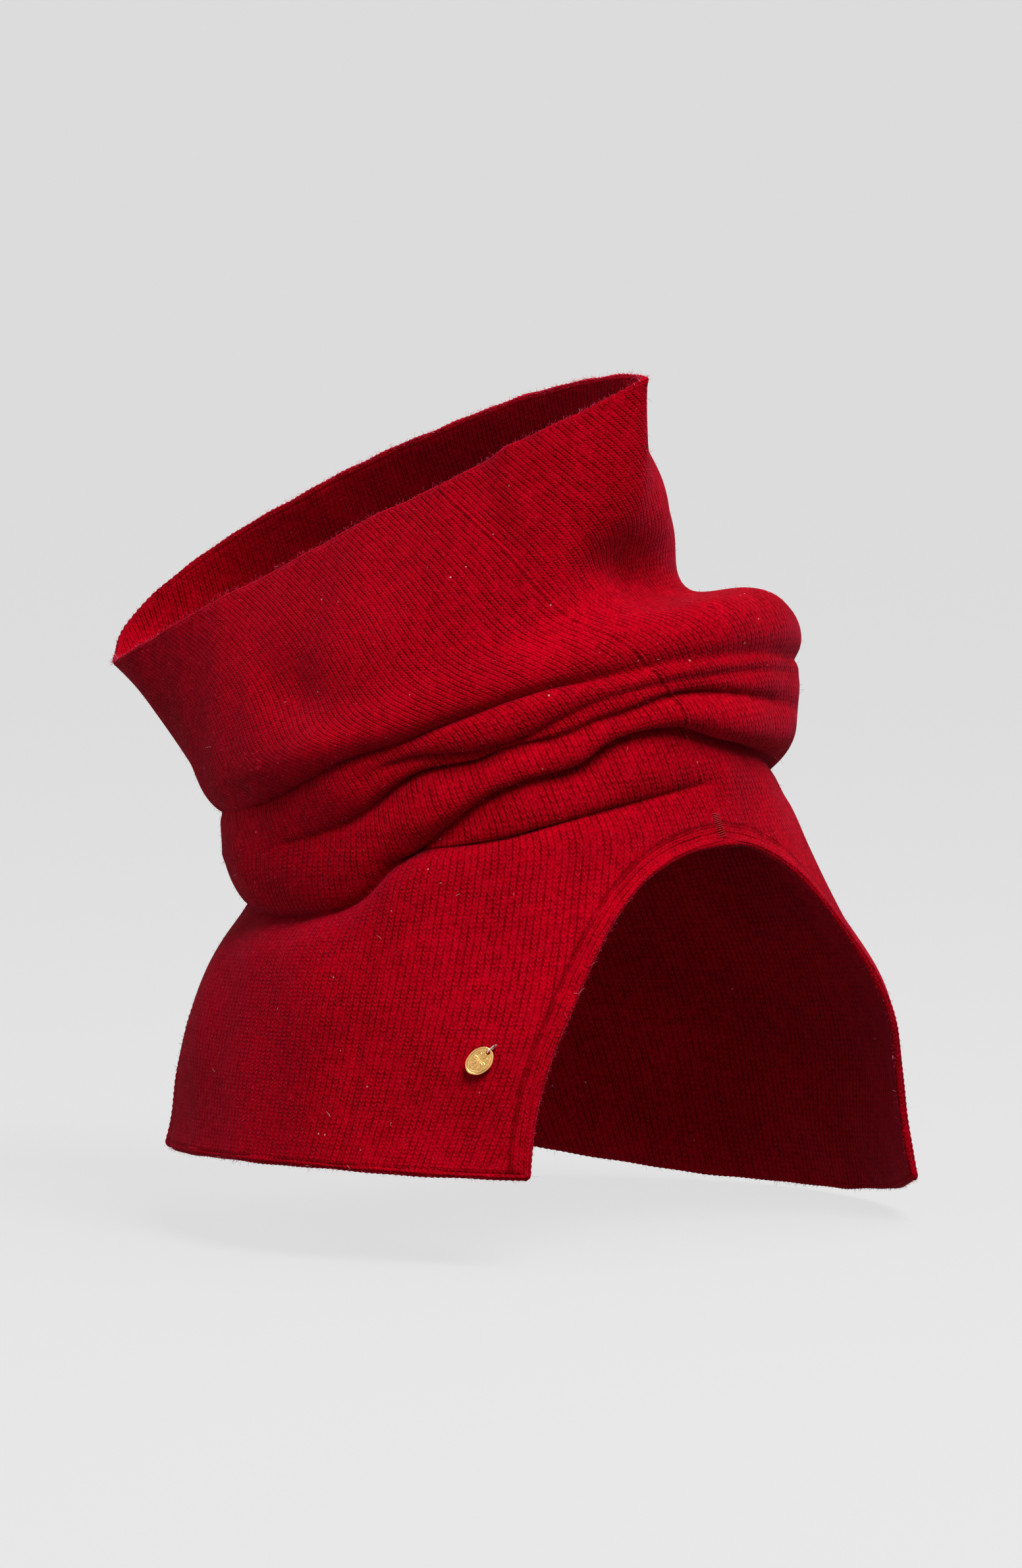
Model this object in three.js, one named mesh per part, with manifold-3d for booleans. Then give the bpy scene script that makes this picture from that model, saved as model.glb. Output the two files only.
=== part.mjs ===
// A knitted neck gaiter: a tall soft collar gathered at the neck, with a front and a back bib
// divided by two arched side slits, and a small coin charm sewn to the front bib.
// Millimetres, +Z up. The wearer faces -Y, and +X is the wearer's left.
// The origin is the middle of the neck opening, where the wearer's neck holds the garment.
import * as THREE from 'three';
import { mergeVertices } from 'three/addons/utils/BufferGeometryUtils.js';
import Module from 'manifold-3d';

const wasm = await Module();
wasm.setup();

// Fabric
const FABRIC = 2.8; // thickness of the brushed knit
const GAP = 0.6; // clearance between neighbouring pieces
const EDGE_BAND = 6; // width of the knitted band along a slit
const HEM_BAND = 5; // height of the hem band
const RIM_BAND = 4; // height of the cast-off edge of the collar
const BAND_PROUD = 0.3; // how far bands and seams stand out of the fabric, on each face
const SEAM_WIDTH = 5; // width of the linked side seam
const TACK = { width: 9, height: 3, thickness: 0.9 }; // bar tack at the top of each slit
const LABEL = { width: 22, length: 26, thickness: 0.7 }; // care label inside the right seam

// Bibs
const HEM_RADIUS = 133;
const HEM_SHIFT = 14; // how far the hem's centre lies behind the neck's centre
const BIB_LENGTH = 109; // drop from the neck to the hem
const BIB_FLARE = 0.63; // share of the flare that is reached halfway down
const BACK_DROP = 11; // how far the back hem hangs below the mean hem, and the front above it
const FRONT_SLIT_ANGLE = THREE.MathUtils.degToRad(47); // from the side seam to the front hem corner
const BACK_SLIT_ANGLE = THREE.MathUtils.degToRad(41);
const ARCH_POWER = 1; // fullness of the slit's arch

// Neck
const NECK_RADIUS = 96;
const NECK_BASE_Z = -26;
const NECK_BASE_SHIFT = 5;
const LOW_FOLD = { out: -1, shift: 2, z: -8, lean: 0.2, tip: 0 };
const HIGH_FOLD = { out: 4, shift: 0, z: 18, lean: 0.34, tip: 0.045 };
const BASE_LEAN = 0.13; // rise of the neck's base per unit of X

// Collar
const COLLAR_BASE = new THREE.Vector3(-16, -15, 36);
const COLLAR_AXIS = new THREE.Vector3(-22, -15, 55.5).normalize();
const COLLAR_RISE = 61.6;
// How far each level of the cloth is wrung round, from the hem to the rim, in degrees
const WRUNG = [0, 0, 0, -2, -13, -19, -50, -61].map(THREE.MathUtils.degToRad);
const COLLAR_HALF = { across: 95, deep: 80, lean: 0.4, backTip: 0.22, frontTip: 0.156 };
const RIM_ACROSS = new THREE.Vector3(125, 10, 56); // from the rim's middle to the left seam
const RIM_BACK = new THREE.Vector3(-52, 30, 8);
const RIM_FRONT = new THREE.Vector3(0, -32, -8);
const RIM_HALF_LENGTH = 137.3;

// Charm
const CHARM = { long: 11.2, wide: 8.4, thick: 0.8, rimWidth: 0.7, rimProud: 0.15 };
const CHARM_HOLE = 1; // radius
const CHARM_LAND = 0.55; // metal between the hole and the edge of the coin
const RING_RADIUS = 1.8;
const RING_WIRE = 0.3;
const LOOP_RADIUS = 1.1;
const LOOP_THREAD = 0.25;
const KNOT_RADIUS = 0.9;
const CHARM_LEAN = THREE.MathUtils.degToRad(46); // how far the coin hangs off plumb
const CHARM_ANGLE = THREE.MathUtils.degToRad(-52); // round from the left seam towards the front
const CHARM_LEVEL = 0.84;

// Levels of the cloth: 0 hem, 1 mid bib, 2 top of the bibs, 3 and 4 the gathered neck,
// 5 collar base, 6 mid collar, 7 rim
const BIB_TOP = 2;
const NECK_TOP = 5;
const RIM = 7;

function roundLevel(radius, shift, z, leanX, leanY) {
  return {
    centre: new THREE.Vector3(0, shift, z),
    across: new THREE.Vector3(radius, 0, radius * leanX),
    back: new THREE.Vector3(0, radius, radius * leanY),
    front: new THREE.Vector3(0, -radius, -radius * leanY),
  };
}

function collarLevel(share) {
  const baseAcross = new THREE.Vector3(1, 0, COLLAR_HALF.lean).multiplyScalar(COLLAR_HALF.across);
  const baseBack = new THREE.Vector3(0, 1, COLLAR_HALF.backTip).multiplyScalar(COLLAR_HALF.deep);
  const baseFront = new THREE.Vector3(0, -1, -COLLAR_HALF.frontTip).multiplyScalar(COLLAR_HALF.deep);
  const rimAcross = RIM_ACROSS.clone().setLength(RIM_HALF_LENGTH);
  return {
    centre: COLLAR_BASE.clone().addScaledVector(COLLAR_AXIS, COLLAR_RISE * share),
    across: baseAcross.clone().lerp(rimAcross, share),
    back: baseBack.clone().lerp(RIM_BACK, share),
    front: baseFront.clone().lerp(RIM_FRONT, share),
  };
}

function fabricLevels() {
  const { lerp } = THREE.MathUtils;
  const topRadius = NECK_RADIUS + 3;
  const midRadius = lerp(topRadius, HEM_RADIUS, BIB_FLARE);
  const midShift = lerp(NECK_BASE_SHIFT, HEM_SHIFT, 0.85);
  const hemTip = -BACK_DROP / HEM_RADIUS;
  return [
    roundLevel(HEM_RADIUS, HEM_SHIFT, NECK_BASE_Z - BIB_LENGTH, 0.015, hemTip),
    roundLevel(midRadius, midShift, NECK_BASE_Z - BIB_LENGTH / 2, 0.04, hemTip / 2),
    roundLevel(topRadius, NECK_BASE_SHIFT, NECK_BASE_Z, BASE_LEAN, 0),
    ...[LOW_FOLD, HIGH_FOLD].map(
      (fold) => roundLevel(NECK_RADIUS + fold.out, fold.shift, fold.z, fold.lean, fold.tip)),
    collarLevel(0),
    collarLevel(0.5),
    collarLevel(1),
  ];
}

const levels = fabricLevels();
const spine = (key) => new THREE.CatmullRomCurve3(levels.map((l) => l[key]), false, 'catmullrom');
const [centres, acrosses, backs, fronts] = ['centre', 'across', 'back', 'front'].map(spine);

const wrings = new THREE.SplineCurve(WRUNG.map((turn, level) => new THREE.Vector2(level, turn)));

// A point of the outer face. The angle is 0 at the left seam, positive round the back.
function onFabric(angle, level) {
  const share = THREE.MathUtils.clamp(level, 0, RIM) / RIM;
  const turned = angle + wrings.getPoint(share).y;
  const depth = Math.sin(turned) >= 0 ? backs : fronts;
  return centres.getPoint(share)
    .addScaledVector(acrosses.getPoint(share), Math.cos(turned))
    .addScaledVector(depth.getPoint(share), Math.abs(Math.sin(turned)));
}

// The surface's directions round and up the fabric, per radian and per level.
function directions(angle, level) {
  const step = 1e-3;
  const low = Math.max(level - step, 0);
  const high = Math.min(level + step, RIM);
  const around = onFabric(angle + step, level).sub(onFabric(angle - step, level));
  const up = onFabric(angle, high).sub(onFabric(angle, low));
  return { around: around.divideScalar(2 * step), up: up.divideScalar(high - low) };
}

function outward(angle, level) {
  const { around, up } = directions(angle, level);
  return around.cross(up).normalize();
}

// The place on the fabric that lies at a small offset, in millimetres, from another place.
function shifted([angle, level], offset) {
  const { around, up } = directions(angle, level);
  const [aa, au, uu] = [around.dot(around), around.dot(up), up.dot(up)];
  const [oa, ou] = [offset.dot(around), offset.dot(up)];
  const scale = aa * uu - au * au;
  return [angle + (uu * oa - au * ou) / scale, level + (aa * ou - au * oa) / scale];
}

const anglePerMm = (angle, level) => 1 / directions(angle, level).around.length();
const levelPerMm = (angle, level) => 1 / directions(angle, level).up.length();

// One closed body of cloth over the places that place(row, column) gives for shares 0 to 1.
// Columns run round the garment and rows run up it. Outer and inner are heights off the face.
function clothGeometry({ rows, columns, place, outer = 0, inner = -FABRIC }) {
  const points = [];
  for (const height of [outer, inner]) {
    for (let row = 0; row <= rows; row++) {
      for (let column = 0; column <= columns; column++) {
        const [angle, level] = place(row / rows, column / columns);
        points.push(onFabric(angle, level).addScaledVector(outward(angle, level), height));
      }
    }
  }
  const innerStart = points.length / 2;
  const at = (row, column) => row * (columns + 1) + column;
  const faces = [];
  const quad = (a, b, c, d) => faces.push(a, b, c, a, c, d);
  for (let row = 0; row < rows; row++) {
    for (let column = 0; column < columns; column++) {
      const corners = [at(row, column), at(row, column + 1), at(row + 1, column + 1), at(row + 1, column)];
      quad(...corners);
      quad(...corners.map((corner) => corner + innerStart).reverse());
    }
  }
  const rim = [];
  for (let column = 0; column < columns; column++) rim.push(at(0, column));
  for (let row = 0; row < rows; row++) rim.push(at(row, columns));
  for (let column = columns; column > 0; column--) rim.push(at(rows, column));
  for (let row = rows; row > 0; row--) rim.push(at(row, 0));
  rim.forEach((a, index) => {
    const b = rim[(index + 1) % rim.length];
    quad(b, a, a + innerStart, b + innerStart);
  });
  const geometry = new THREE.BufferGeometry().setFromPoints(points);
  geometry.setIndex(faces);
  geometry.computeVertexNormals();
  return geometry;
}

const knitRed = { color: 0xa80018, roughness: 0.95 };
const bandRed = { color: 0xb5102a, roughness: 0.95 };
const threadRed = { color: 0x8c0012, roughness: 0.9 };
const gold = { color: 0xc8964f, roughness: 0.3, metalness: 1 };
const silver = { color: 0xd8d4cc, roughness: 0.35, metalness: 1 };
const paleThread = { color: 0xe6dcd0, roughness: 0.9 };
const labelWhite = { color: 0xe9e4da, roughness: 0.8 };

const gaiter = new THREE.Group();

function addMesh(name, geometry, finish, parent = gaiter) {
  const mesh = new THREE.Mesh(geometry, new THREE.MeshStandardMaterial(finish));
  mesh.name = name;
  parent.add(mesh);
  return mesh;
}

const { lerp } = THREE.MathUtils;
// A half is the front or the back panel, and a side is the left or the right seam of it.
const halves = {
  front: { sign: -1, slitAngle: FRONT_SLIT_ANGLE },
  back: { sign: 1, slitAngle: BACK_SLIT_ANGLE },
};
const sides = ['left', 'right'];

// The angle that lies a turn away from a side seam, on a half.
const fromSeam = (half, side, turn) => half.sign * (side === 'left' ? turn : Math.PI - turn);
const seamAngle = (side) => (side === 'left' ? 0 : Math.PI);
const seamTurn = (half, side, level, distance) =>
  distance * anglePerMm(fromSeam(half, side, 0.02), level);

// The two ends of a half's span at a level, in the order of a rising angle.
function risingEnds(half, endOf) {
  return half.sign < 0 ? [endOf('right'), endOf('left')] : [endOf('left'), endOf('right')];
}

function slitTopLevel(side) {
  return BIB_TOP - (EDGE_BAND + 2 * GAP) * levelPerMm(seamAngle(side), BIB_TOP);
}

// A place on the arched edge of a slit: share 0 at the hem, 1 at the top beside the seam.
function slitEdge(half, side, share) {
  const turn = share * Math.PI / 2;
  const level = slitTopLevel(side) * Math.sin(turn);
  const least = seamTurn(half, side, level, GAP / 2);
  const opening = lerp(least, half.slitAngle, Math.cos(turn) ** ARCH_POWER);
  return [fromSeam(half, side, opening), level];
}

// A place at a distance in from the edge of a slit.
function inFromSlit(half, side, share, distance) {
  const step = 1e-3;
  const place = slitEdge(half, side, share);
  const ahead = onFabric(...slitEdge(half, side, Math.min(share + step, 1)));
  const behind = onFabric(...slitEdge(half, side, Math.max(share - step, 0)));
  const inwards = outward(...place).cross(ahead.sub(behind)).normalize();
  const leftOfTravel = (half.sign < 0) === (side === 'left') ? 1 : -1;
  return shifted(place, inwards.multiplyScalar(leftOfTravel * distance));
}

const hemTop = HEM_BAND + GAP; // height at which a bib's panel starts above the hem

function shareAtHeight(side, height) {
  const bibHeight = slitTopLevel(side) / levelPerMm(seamAngle(side), 1);
  return Math.asin(height / bibHeight) / (Math.PI / 2);
}

function bibPanel(half) {
  const inset = EDGE_BAND + GAP;
  return clothGeometry({
    rows: 12,
    columns: 20,
    place: (row, column) => {
      const [start, end] = risingEnds(half, (side) => {
        const share = lerp(shareAtHeight(side, hemTop), 1, row);
        return inFromSlit(half, side, share, inset);
      });
      const angle = lerp(start[0], end[0], column);
      const low = hemTop * levelPerMm(angle, 0);
      const top = BIB_TOP - GAP * levelPerMm(angle, BIB_TOP);
      const endLevel = Math.min(lerp(start[1], end[1], column), top);
      const middleLevel = lerp(low, top, 0.65 * row + 0.35 * Math.sin(row * Math.PI / 2));
      const middle = 1 - Math.abs(2 * column - 1) ** 2.5;
      return [angle, Math.max(lerp(endLevel, middleLevel, middle), low)];
    },
  });
}

function slitBand(half, side) {
  const edgeLast = half.sign < 0 ? side === 'left' : side === 'right';
  return clothGeometry({
    rows: 14,
    columns: 2,
    outer: BAND_PROUD,
    inner: -FABRIC - BAND_PROUD,
    place: (row, column) => {
      const distance = EDGE_BAND * (edgeLast ? 1 - column : column);
      return inFromSlit(half, side, row, distance);
    },
  });
}

function hemBand(half) {
  const inset = EDGE_BAND + GAP;
  return clothGeometry({
    rows: 1,
    columns: 20,
    outer: BAND_PROUD,
    inner: -FABRIC - BAND_PROUD,
    place: (row, column) => {
      const [start, end] = risingEnds(half, (side) =>
        inFromSlit(half, side, row * shareAtHeight(side, HEM_BAND), inset));
      const angle = lerp(start[0], end[0], column);
      return [angle, row * HEM_BAND * levelPerMm(angle, 0)];
    },
  });
}

// A level that lies a distance above a cut at any angle.
const aboveCut = (cut, distance) => (angle) => cut + distance * levelPerMm(angle, cut);

// A panel of one half between two cuts, from side seam to side seam.
function seamedPanel(half, low, high, rows, extra = {}) {
  const distance = SEAM_WIDTH / 2 + GAP;
  return clothGeometry({
    rows,
    columns: 20,
    place: (row, column) => {
      const levelAt = (angle) => lerp(low(angle), high(angle), row);
      const [start, end] = risingEnds(half, (side) =>
        fromSeam(half, side, seamTurn(half, side, levelAt(seamAngle(side)), distance)));
      const angle = lerp(start, end, column);
      return [angle, levelAt(angle)];
    },
    ...extra,
  });
}

function sideSeam(side, low, high, rows) {
  return clothGeometry({
    rows,
    columns: 4,
    outer: BAND_PROUD,
    inner: -FABRIC - BAND_PROUD,
    place: (row, column) => {
      const level = lerp(low(seamAngle(side)), high(seamAngle(side)), row);
      const half = (column < 0.5) === (side === 'left') ? halves.front : halves.back;
      const turn = seamTurn(half, side, level, SEAM_WIDTH / 2) * (2 * column - 1);
      return [seamAngle(side) + turn, level];
    },
  });
}

function barTack(side) {
  const bottom = BIB_TOP + GAP * levelPerMm(seamAngle(side), BIB_TOP);
  const height = TACK.height * levelPerMm(seamAngle(side), BIB_TOP);
  const base = BAND_PROUD + GAP;
  return clothGeometry({
    rows: 2,
    columns: 6,
    outer: base + TACK.thickness,
    inner: base,
    place: (row, column) => {
      const turn = TACK.width * anglePerMm(seamAngle(side), BIB_TOP);
      return [seamAngle(side) + (column - 0.5) * turn, bottom + row * height];
    },
  });
}

function careLabel() {
  const seam = seamAngle('right');
  const top = BIB_TOP + (LABEL.length / 2) * levelPerMm(seam, BIB_TOP + 0.5);
  const turn = LABEL.width * anglePerMm(seam, BIB_TOP);
  const start = seam - SEAM_WIDTH * anglePerMm(seam, BIB_TOP) - turn;
  const base = -FABRIC - BAND_PROUD - GAP;
  return clothGeometry({
    rows: 4,
    columns: 4,
    outer: base,
    inner: base - LABEL.thickness,
    place: (row, column) => [
      start + column * turn,
      top - (1 - row) * LABEL.length * levelPerMm(seam, BIB_TOP),
    ],
  });
}

function addBib(name, half) {
  addMesh(`bib_${name}`, bibPanel(half), knitRed);
  addMesh(`hem_edge_${name}`, hemBand(half), bandRed);
  for (const side of sides) addMesh(`slit_edge_${name}_${side}`, slitBand(half, side), bandRed);
}

function addNeckAndCollar() {
  const neckBottom = aboveCut(BIB_TOP, 0);
  const neckTop = aboveCut(NECK_TOP, 0);
  const collarBottom = aboveCut(NECK_TOP, GAP);
  const rim = aboveCut(RIM, 0);
  const proud = { outer: BAND_PROUD, inner: -FABRIC - BAND_PROUD };
  for (const [name, half] of Object.entries(halves)) {
    const rimLow = aboveCut(RIM, -RIM_BAND);
    const collarTop = aboveCut(RIM, -RIM_BAND - GAP);
    addMesh(`neck_${name}`, seamedPanel(half, neckBottom, neckTop, 14), knitRed);
    addMesh(`collar_${name}`, seamedPanel(half, collarBottom, collarTop, 8), knitRed);
    addMesh(`rim_edge_${name}`, seamedPanel(half, rimLow, rim, 1, proud), bandRed);
  }
  for (const side of sides) {
    addMesh(`neck_seam_${side}`, sideSeam(side, neckBottom, neckTop, 14), threadRed);
    addMesh(`collar_seam_${side}`, sideSeam(side, collarBottom, rim, 8), threadRed);
    addMesh(`bar_tack_${side}`, barTack(side), threadRed);
  }
  addMesh('care_label', careLabel(), labelWhite);
}

// A manifold body of a closed three.js geometry, and back.
function toSolid(geometry) {
  const bare = geometry.clone();
  bare.deleteAttribute('normal');
  bare.deleteAttribute('uv');
  const merged = mergeVertices(bare, 1e-5);
  return new wasm.Manifold(new wasm.Mesh({
    numProp: 3,
    vertProperties: merged.attributes.position.array,
    triVerts: Uint32Array.from(merged.index.array),
  }));
}

function toGeometry(solid) {
  const mesh = solid.getMesh();
  const geometry = new THREE.BufferGeometry();
  geometry.setAttribute('position', new THREE.BufferAttribute(mesh.vertProperties, 3));
  geometry.setIndex([...mesh.triVerts]);
  return geometry;
}

function ovalPlate(long, wide, thick, hole) {
  const shape = new THREE.Shape().absellipse(0, 0, wide / 2, long / 2, 0, 2 * Math.PI);
  if (hole) shape.holes.push(new THREE.Path().absellipse(0, hole.y, hole.rx, hole.ry, 0, 2 * Math.PI));
  return new THREE.ExtrudeGeometry(shape, { depth: thick, bevelEnabled: false, curveSegments: 12 })
    .translate(0, 0, -thick / 2);
}

// The coin lies in its own XY plane, round its middle, with the hole towards +Y.
function coinGeometry(holeY) {
  const hole = { y: holeY, rx: CHARM_HOLE, ry: CHARM_HOLE };
  const plate = toSolid(ovalPlate(CHARM.long, CHARM.wide, CHARM.thick, hole));
  const opening = { y: 0, rx: CHARM.wide / 2 - CHARM.rimWidth, ry: CHARM.long / 2 - CHARM.rimWidth };
  const rimThick = CHARM.thick + 2 * CHARM.rimProud;
  const rim = toSolid(ovalPlate(CHARM.long, CHARM.wide, rimThick, opening));
  const drill = toSolid(new THREE.CylinderGeometry(CHARM_HOLE, CHARM_HOLE, 3 * rimThick, 32)
    .rotateX(Math.PI / 2).translate(0, holeY, 0));
  return toGeometry(plate.add(rim).subtract(drill));
}

function ringGeometry(radius, wire) {
  return new THREE.TorusGeometry(radius, wire, 8, 20);
}

// The charm hangs in a frame of its own: +Z out of the fabric, +Y back up to the stitch.
function addCharm() {
  const stitch = onFabric(CHARM_ANGLE, CHARM_LEVEL);
  const out = outward(CHARM_ANGLE, CHARM_LEVEL);
  const up = directions(CHARM_ANGLE, CHARM_LEVEL).up;
  up.addScaledVector(out, -up.dot(out)).normalize().applyAxisAngle(out, -CHARM_LEAN);
  const right = up.clone().cross(out);
  const hanger = new THREE.Group();
  hanger.applyMatrix4(new THREE.Matrix4().makeBasis(right, up, out).setPosition(stitch));
  gaiter.add(hanger);

  const loopHeight = GAP + LOOP_THREAD + LOOP_RADIUS;
  addMesh('thread_loop', ringGeometry(LOOP_RADIUS, LOOP_THREAD).rotateX(Math.PI / 2), paleThread, hanger)
    .position.set(0, 0, loopHeight);

  const ringTurn = THREE.MathUtils.degToRad(42); // where the thread crosses the ring
  const ringY = -RING_RADIUS * Math.sin(ringTurn);
  const ringZ = loopHeight + RING_RADIUS * Math.cos(ringTurn);
  addMesh('jump_ring', ringGeometry(RING_RADIUS, RING_WIRE).rotateY(Math.PI / 2), silver, hanger)
    .position.set(0, ringY, ringZ);

  const coinTurn = THREE.MathUtils.degToRad(62); // where the coin crosses the ring
  const holeY = ringY - RING_RADIUS * Math.sin(coinTurn);
  const coinZ = ringZ - RING_RADIUS * Math.cos(coinTurn);
  const holeInCoin = CHARM.long / 2 - CHARM_LAND - CHARM_HOLE;
  addMesh('coin_charm', coinGeometry(holeInCoin), gold, hanger)
    .position.set(0, holeY - holeInCoin, coinZ);

  addMesh('thread_knot', new THREE.SphereGeometry(KNOT_RADIUS, 12, 8), threadRed, hanger)
    .position.set(0, 0, -FABRIC - GAP - KNOT_RADIUS);
}

addBib('front', halves.front);
addBib('back', halves.back);
addNeckAndCollar();
addCharm();

export default gaiter;
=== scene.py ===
"""Looks of the knitted neck gaiter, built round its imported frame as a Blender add-on."""

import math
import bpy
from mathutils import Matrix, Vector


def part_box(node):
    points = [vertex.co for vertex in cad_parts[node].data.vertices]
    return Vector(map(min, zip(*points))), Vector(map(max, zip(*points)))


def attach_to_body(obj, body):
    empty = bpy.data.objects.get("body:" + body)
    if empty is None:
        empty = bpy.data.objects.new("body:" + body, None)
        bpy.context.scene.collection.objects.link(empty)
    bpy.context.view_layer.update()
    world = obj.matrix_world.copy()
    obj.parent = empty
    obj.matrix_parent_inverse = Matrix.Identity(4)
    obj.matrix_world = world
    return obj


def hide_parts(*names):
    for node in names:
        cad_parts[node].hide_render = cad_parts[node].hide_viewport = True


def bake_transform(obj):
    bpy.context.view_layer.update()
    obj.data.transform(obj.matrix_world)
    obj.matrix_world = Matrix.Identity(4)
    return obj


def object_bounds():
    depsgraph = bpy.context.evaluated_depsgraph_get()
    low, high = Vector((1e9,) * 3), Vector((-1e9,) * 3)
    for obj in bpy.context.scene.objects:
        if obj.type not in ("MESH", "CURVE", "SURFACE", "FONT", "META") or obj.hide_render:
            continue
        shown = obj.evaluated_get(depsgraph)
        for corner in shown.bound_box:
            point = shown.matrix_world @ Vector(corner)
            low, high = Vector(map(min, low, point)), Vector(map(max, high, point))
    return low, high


bl_info = {
    "name": "Knitted Neck Gaiter",
    "version": (1, 0, 0),
    "blender": (4, 5, 0),
    "location": "View3D > Sidebar > Gaiter",
    "description": "Makes the knitted cloth, the edges, the seams and the coin charm of a neck gaiter",
    "category": "Object",
}

import bmesh
import bpy
import numpy as np
from bpy.props import FloatProperty, FloatVectorProperty, IntProperty, PointerProperty
from mathutils import Matrix, Vector

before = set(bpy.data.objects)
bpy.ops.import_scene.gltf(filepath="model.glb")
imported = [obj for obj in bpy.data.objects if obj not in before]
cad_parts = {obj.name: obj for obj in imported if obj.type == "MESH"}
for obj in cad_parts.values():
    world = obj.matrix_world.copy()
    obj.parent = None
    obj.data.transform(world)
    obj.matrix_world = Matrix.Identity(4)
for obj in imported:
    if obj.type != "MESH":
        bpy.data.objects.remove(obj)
CAD_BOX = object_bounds()
MM = 0.001


# ---------------- sizes and colours

class KnitSettings(bpy.types.PropertyGroup):
    """Sizes and colours of the knitted cloth"""

    thickness: FloatProperty(
        name="Thickness", description="Thickness of the brushed knit, in millimetres",
        default=2.8, min=1.0, max=5.0)
    half_width: FloatProperty(
        name="Half width", description="Cloth from a panel's middle to its side seam, in millimetres",
        default=145.0, min=100.0, max=200.0)
    column_step: FloatProperty(
        name="Column step", description="Width of one mesh column, in millimetres",
        default=1.5, min=0.8, max=6.0)
    wale_pitch: FloatProperty(
        name="Wale pitch", description="Width of one column of stitches, in millimetres",
        default=2.3, min=1.0, max=6.0)
    course_pitch: FloatProperty(
        name="Course pitch", description="Height of one row of stitches, in millimetres",
        default=1.7, min=1.0, max=6.0)
    band_width: FloatProperty(
        name="Band width", description="Width of the knitted band along a slit, in millimetres",
        default=6.0, min=2.0, max=15.0)
    red: FloatVectorProperty(
        name="Red", description="Colour of the cloth's face", subtype="COLOR", size=4,
        default=(0.52, 0.0, 0.01, 1.0), min=0.0, max=1.0)
    # Painted shade: the knit is painted this darker red where its stitches and fibres sink, in place of the
    # shade that falls there.
    stitch_shade_red: FloatVectorProperty(
        name="Deep red", description="Colour between the stitches", subtype="COLOR", size=4,
        default=(0.2, 0.0, 0.003, 1.0), min=0.0, max=1.0)
    nap: FloatVectorProperty(
        name="Nap", description="Colour of the loose surface fibres", subtype="COLOR", size=4,
        default=(0.72, 0.01, 0.06, 1.0), min=0.0, max=1.0)


class CharmSettings(bpy.types.PropertyGroup):
    """Sizes and colours of the coin charm"""

    gold: FloatVectorProperty(
        name="Gold", description="Colour of the plated coin", subtype="COLOR", size=4,
        default=(0.83, 0.5, 0.17, 1.0), min=0.0, max=1.0)
    relief: FloatProperty(
        name="Relief", description="Height of the struck pattern, in millimetres",
        default=0.16, min=0.0, max=0.5)
    rays: IntProperty(
        name="Rays", description="Number of petals round the middle of the coin",
        default=8, min=3, max=24)


class StageSettings(bpy.types.PropertyGroup):
    """Camera angle, distance and width of view"""

    azimuth: FloatProperty(
        name="Azimuth", description="Camera's turn round the garment from its front, in degrees",
        default=45.0, min=-180.0, max=180.0)
    elevation: FloatProperty(
        name="Elevation", description="Camera's height above the horizon, in degrees",
        default=4.5, min=-10.0, max=60.0)
    distance: FloatProperty(
        name="Distance", description="Camera's distance from the garment", unit="LENGTH",
        default=3.2, min=0.5, max=10.0)
    view_width: FloatProperty(
        name="View width", description="Width of the picture at the garment", unit="LENGTH",
        default=0.3632, min=0.1, max=2.0)


# ---------------- the cloth's base shape
# Lengths are in millimetres here. An angle is 0 at the wearer's left, positive round the back.
# Levels run from 0 at the hem through 2 at the top of the bibs to 7 at the rim.

RIM = 7.0
BIB_TOP = 2.0
PARTING = 2.3  # where the bib's mesh ends and the collar's begins, below the gathers
HEM_RADIUS, HEM_SHIFT, HEM_Z, BACK_DROP = 133.0, 14.0, -135.0, 11.0
MID_RADIUS, MID_SHIFT, MID_Z = 120.4, 12.65, -80.5
NECK_RADIUS, NECK_SHIFT, NECK_Z, NECK_LEAN = 99.0, 5.0, -26.0, 0.13
LOW_FOLD = (95.0, 2.0, -8.0, 0.2)
HIGH_FOLD = (100.0, 0.0, 18.0, 0.34, 0.045)
COLLAR_BASE = np.array((-16.0, -15.0, 36.0))
COLLAR_AXIS = np.array((-22.0, -15.0, 55.5)) / np.linalg.norm((-22.0, -15.0, 55.5))
COLLAR_RISE = 61.6
RIM_ACROSS = 137.3 * np.array((125.0, 10.0, 53.5)) / np.linalg.norm((125.0, 10.0, 53.5))
RIM_BACK = np.array((-60.0, 30.0, 11.0))
RIM_FRONT = np.array((0.0, -32.0, -8.0))
BASE_ACROSS = np.array((95.0, 0.0, 38.0))
BASE_BACK = np.array((0.0, 80.0, 17.6))
BASE_FRONT = np.array((0.0, -80.0, -12.5))
# Share of a full turn by which each level of the cloth is wrung round.
WRUNG = np.array((0, 0, 0, -0.0056, -0.036, -0.056, -0.1, -0.148))
HEM_SPREAD = 0.69  # angle that the cloth takes up at the hem, as a share of that at the neck
SLIT_ANGLE = {"front": 47.0, "back": 41.0}  # from side seam to hem corner, in degrees
SLIT_TOP = 1.97  # level at which a slit's arch closes
ARCH_POWER = 0.95  # how round the arch is: 1 is an ellipse
HALVES = ("front", "back")


def round_level(radius, shift, z, lean_x, lean_y=0.0):
    across = (radius, 0.0, radius * lean_x)
    back = np.array((0.0, radius, radius * lean_y))
    return (0.0, shift, z), across, back, -back


def collar_level(share):
    across = BASE_ACROSS * (1 - share) + RIM_ACROSS * share
    back = BASE_BACK * (1 - share) + RIM_BACK * share
    front = BASE_FRONT * (1 - share) + RIM_FRONT * share
    return COLLAR_BASE + COLLAR_AXIS * COLLAR_RISE * share, across, back, front


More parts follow.
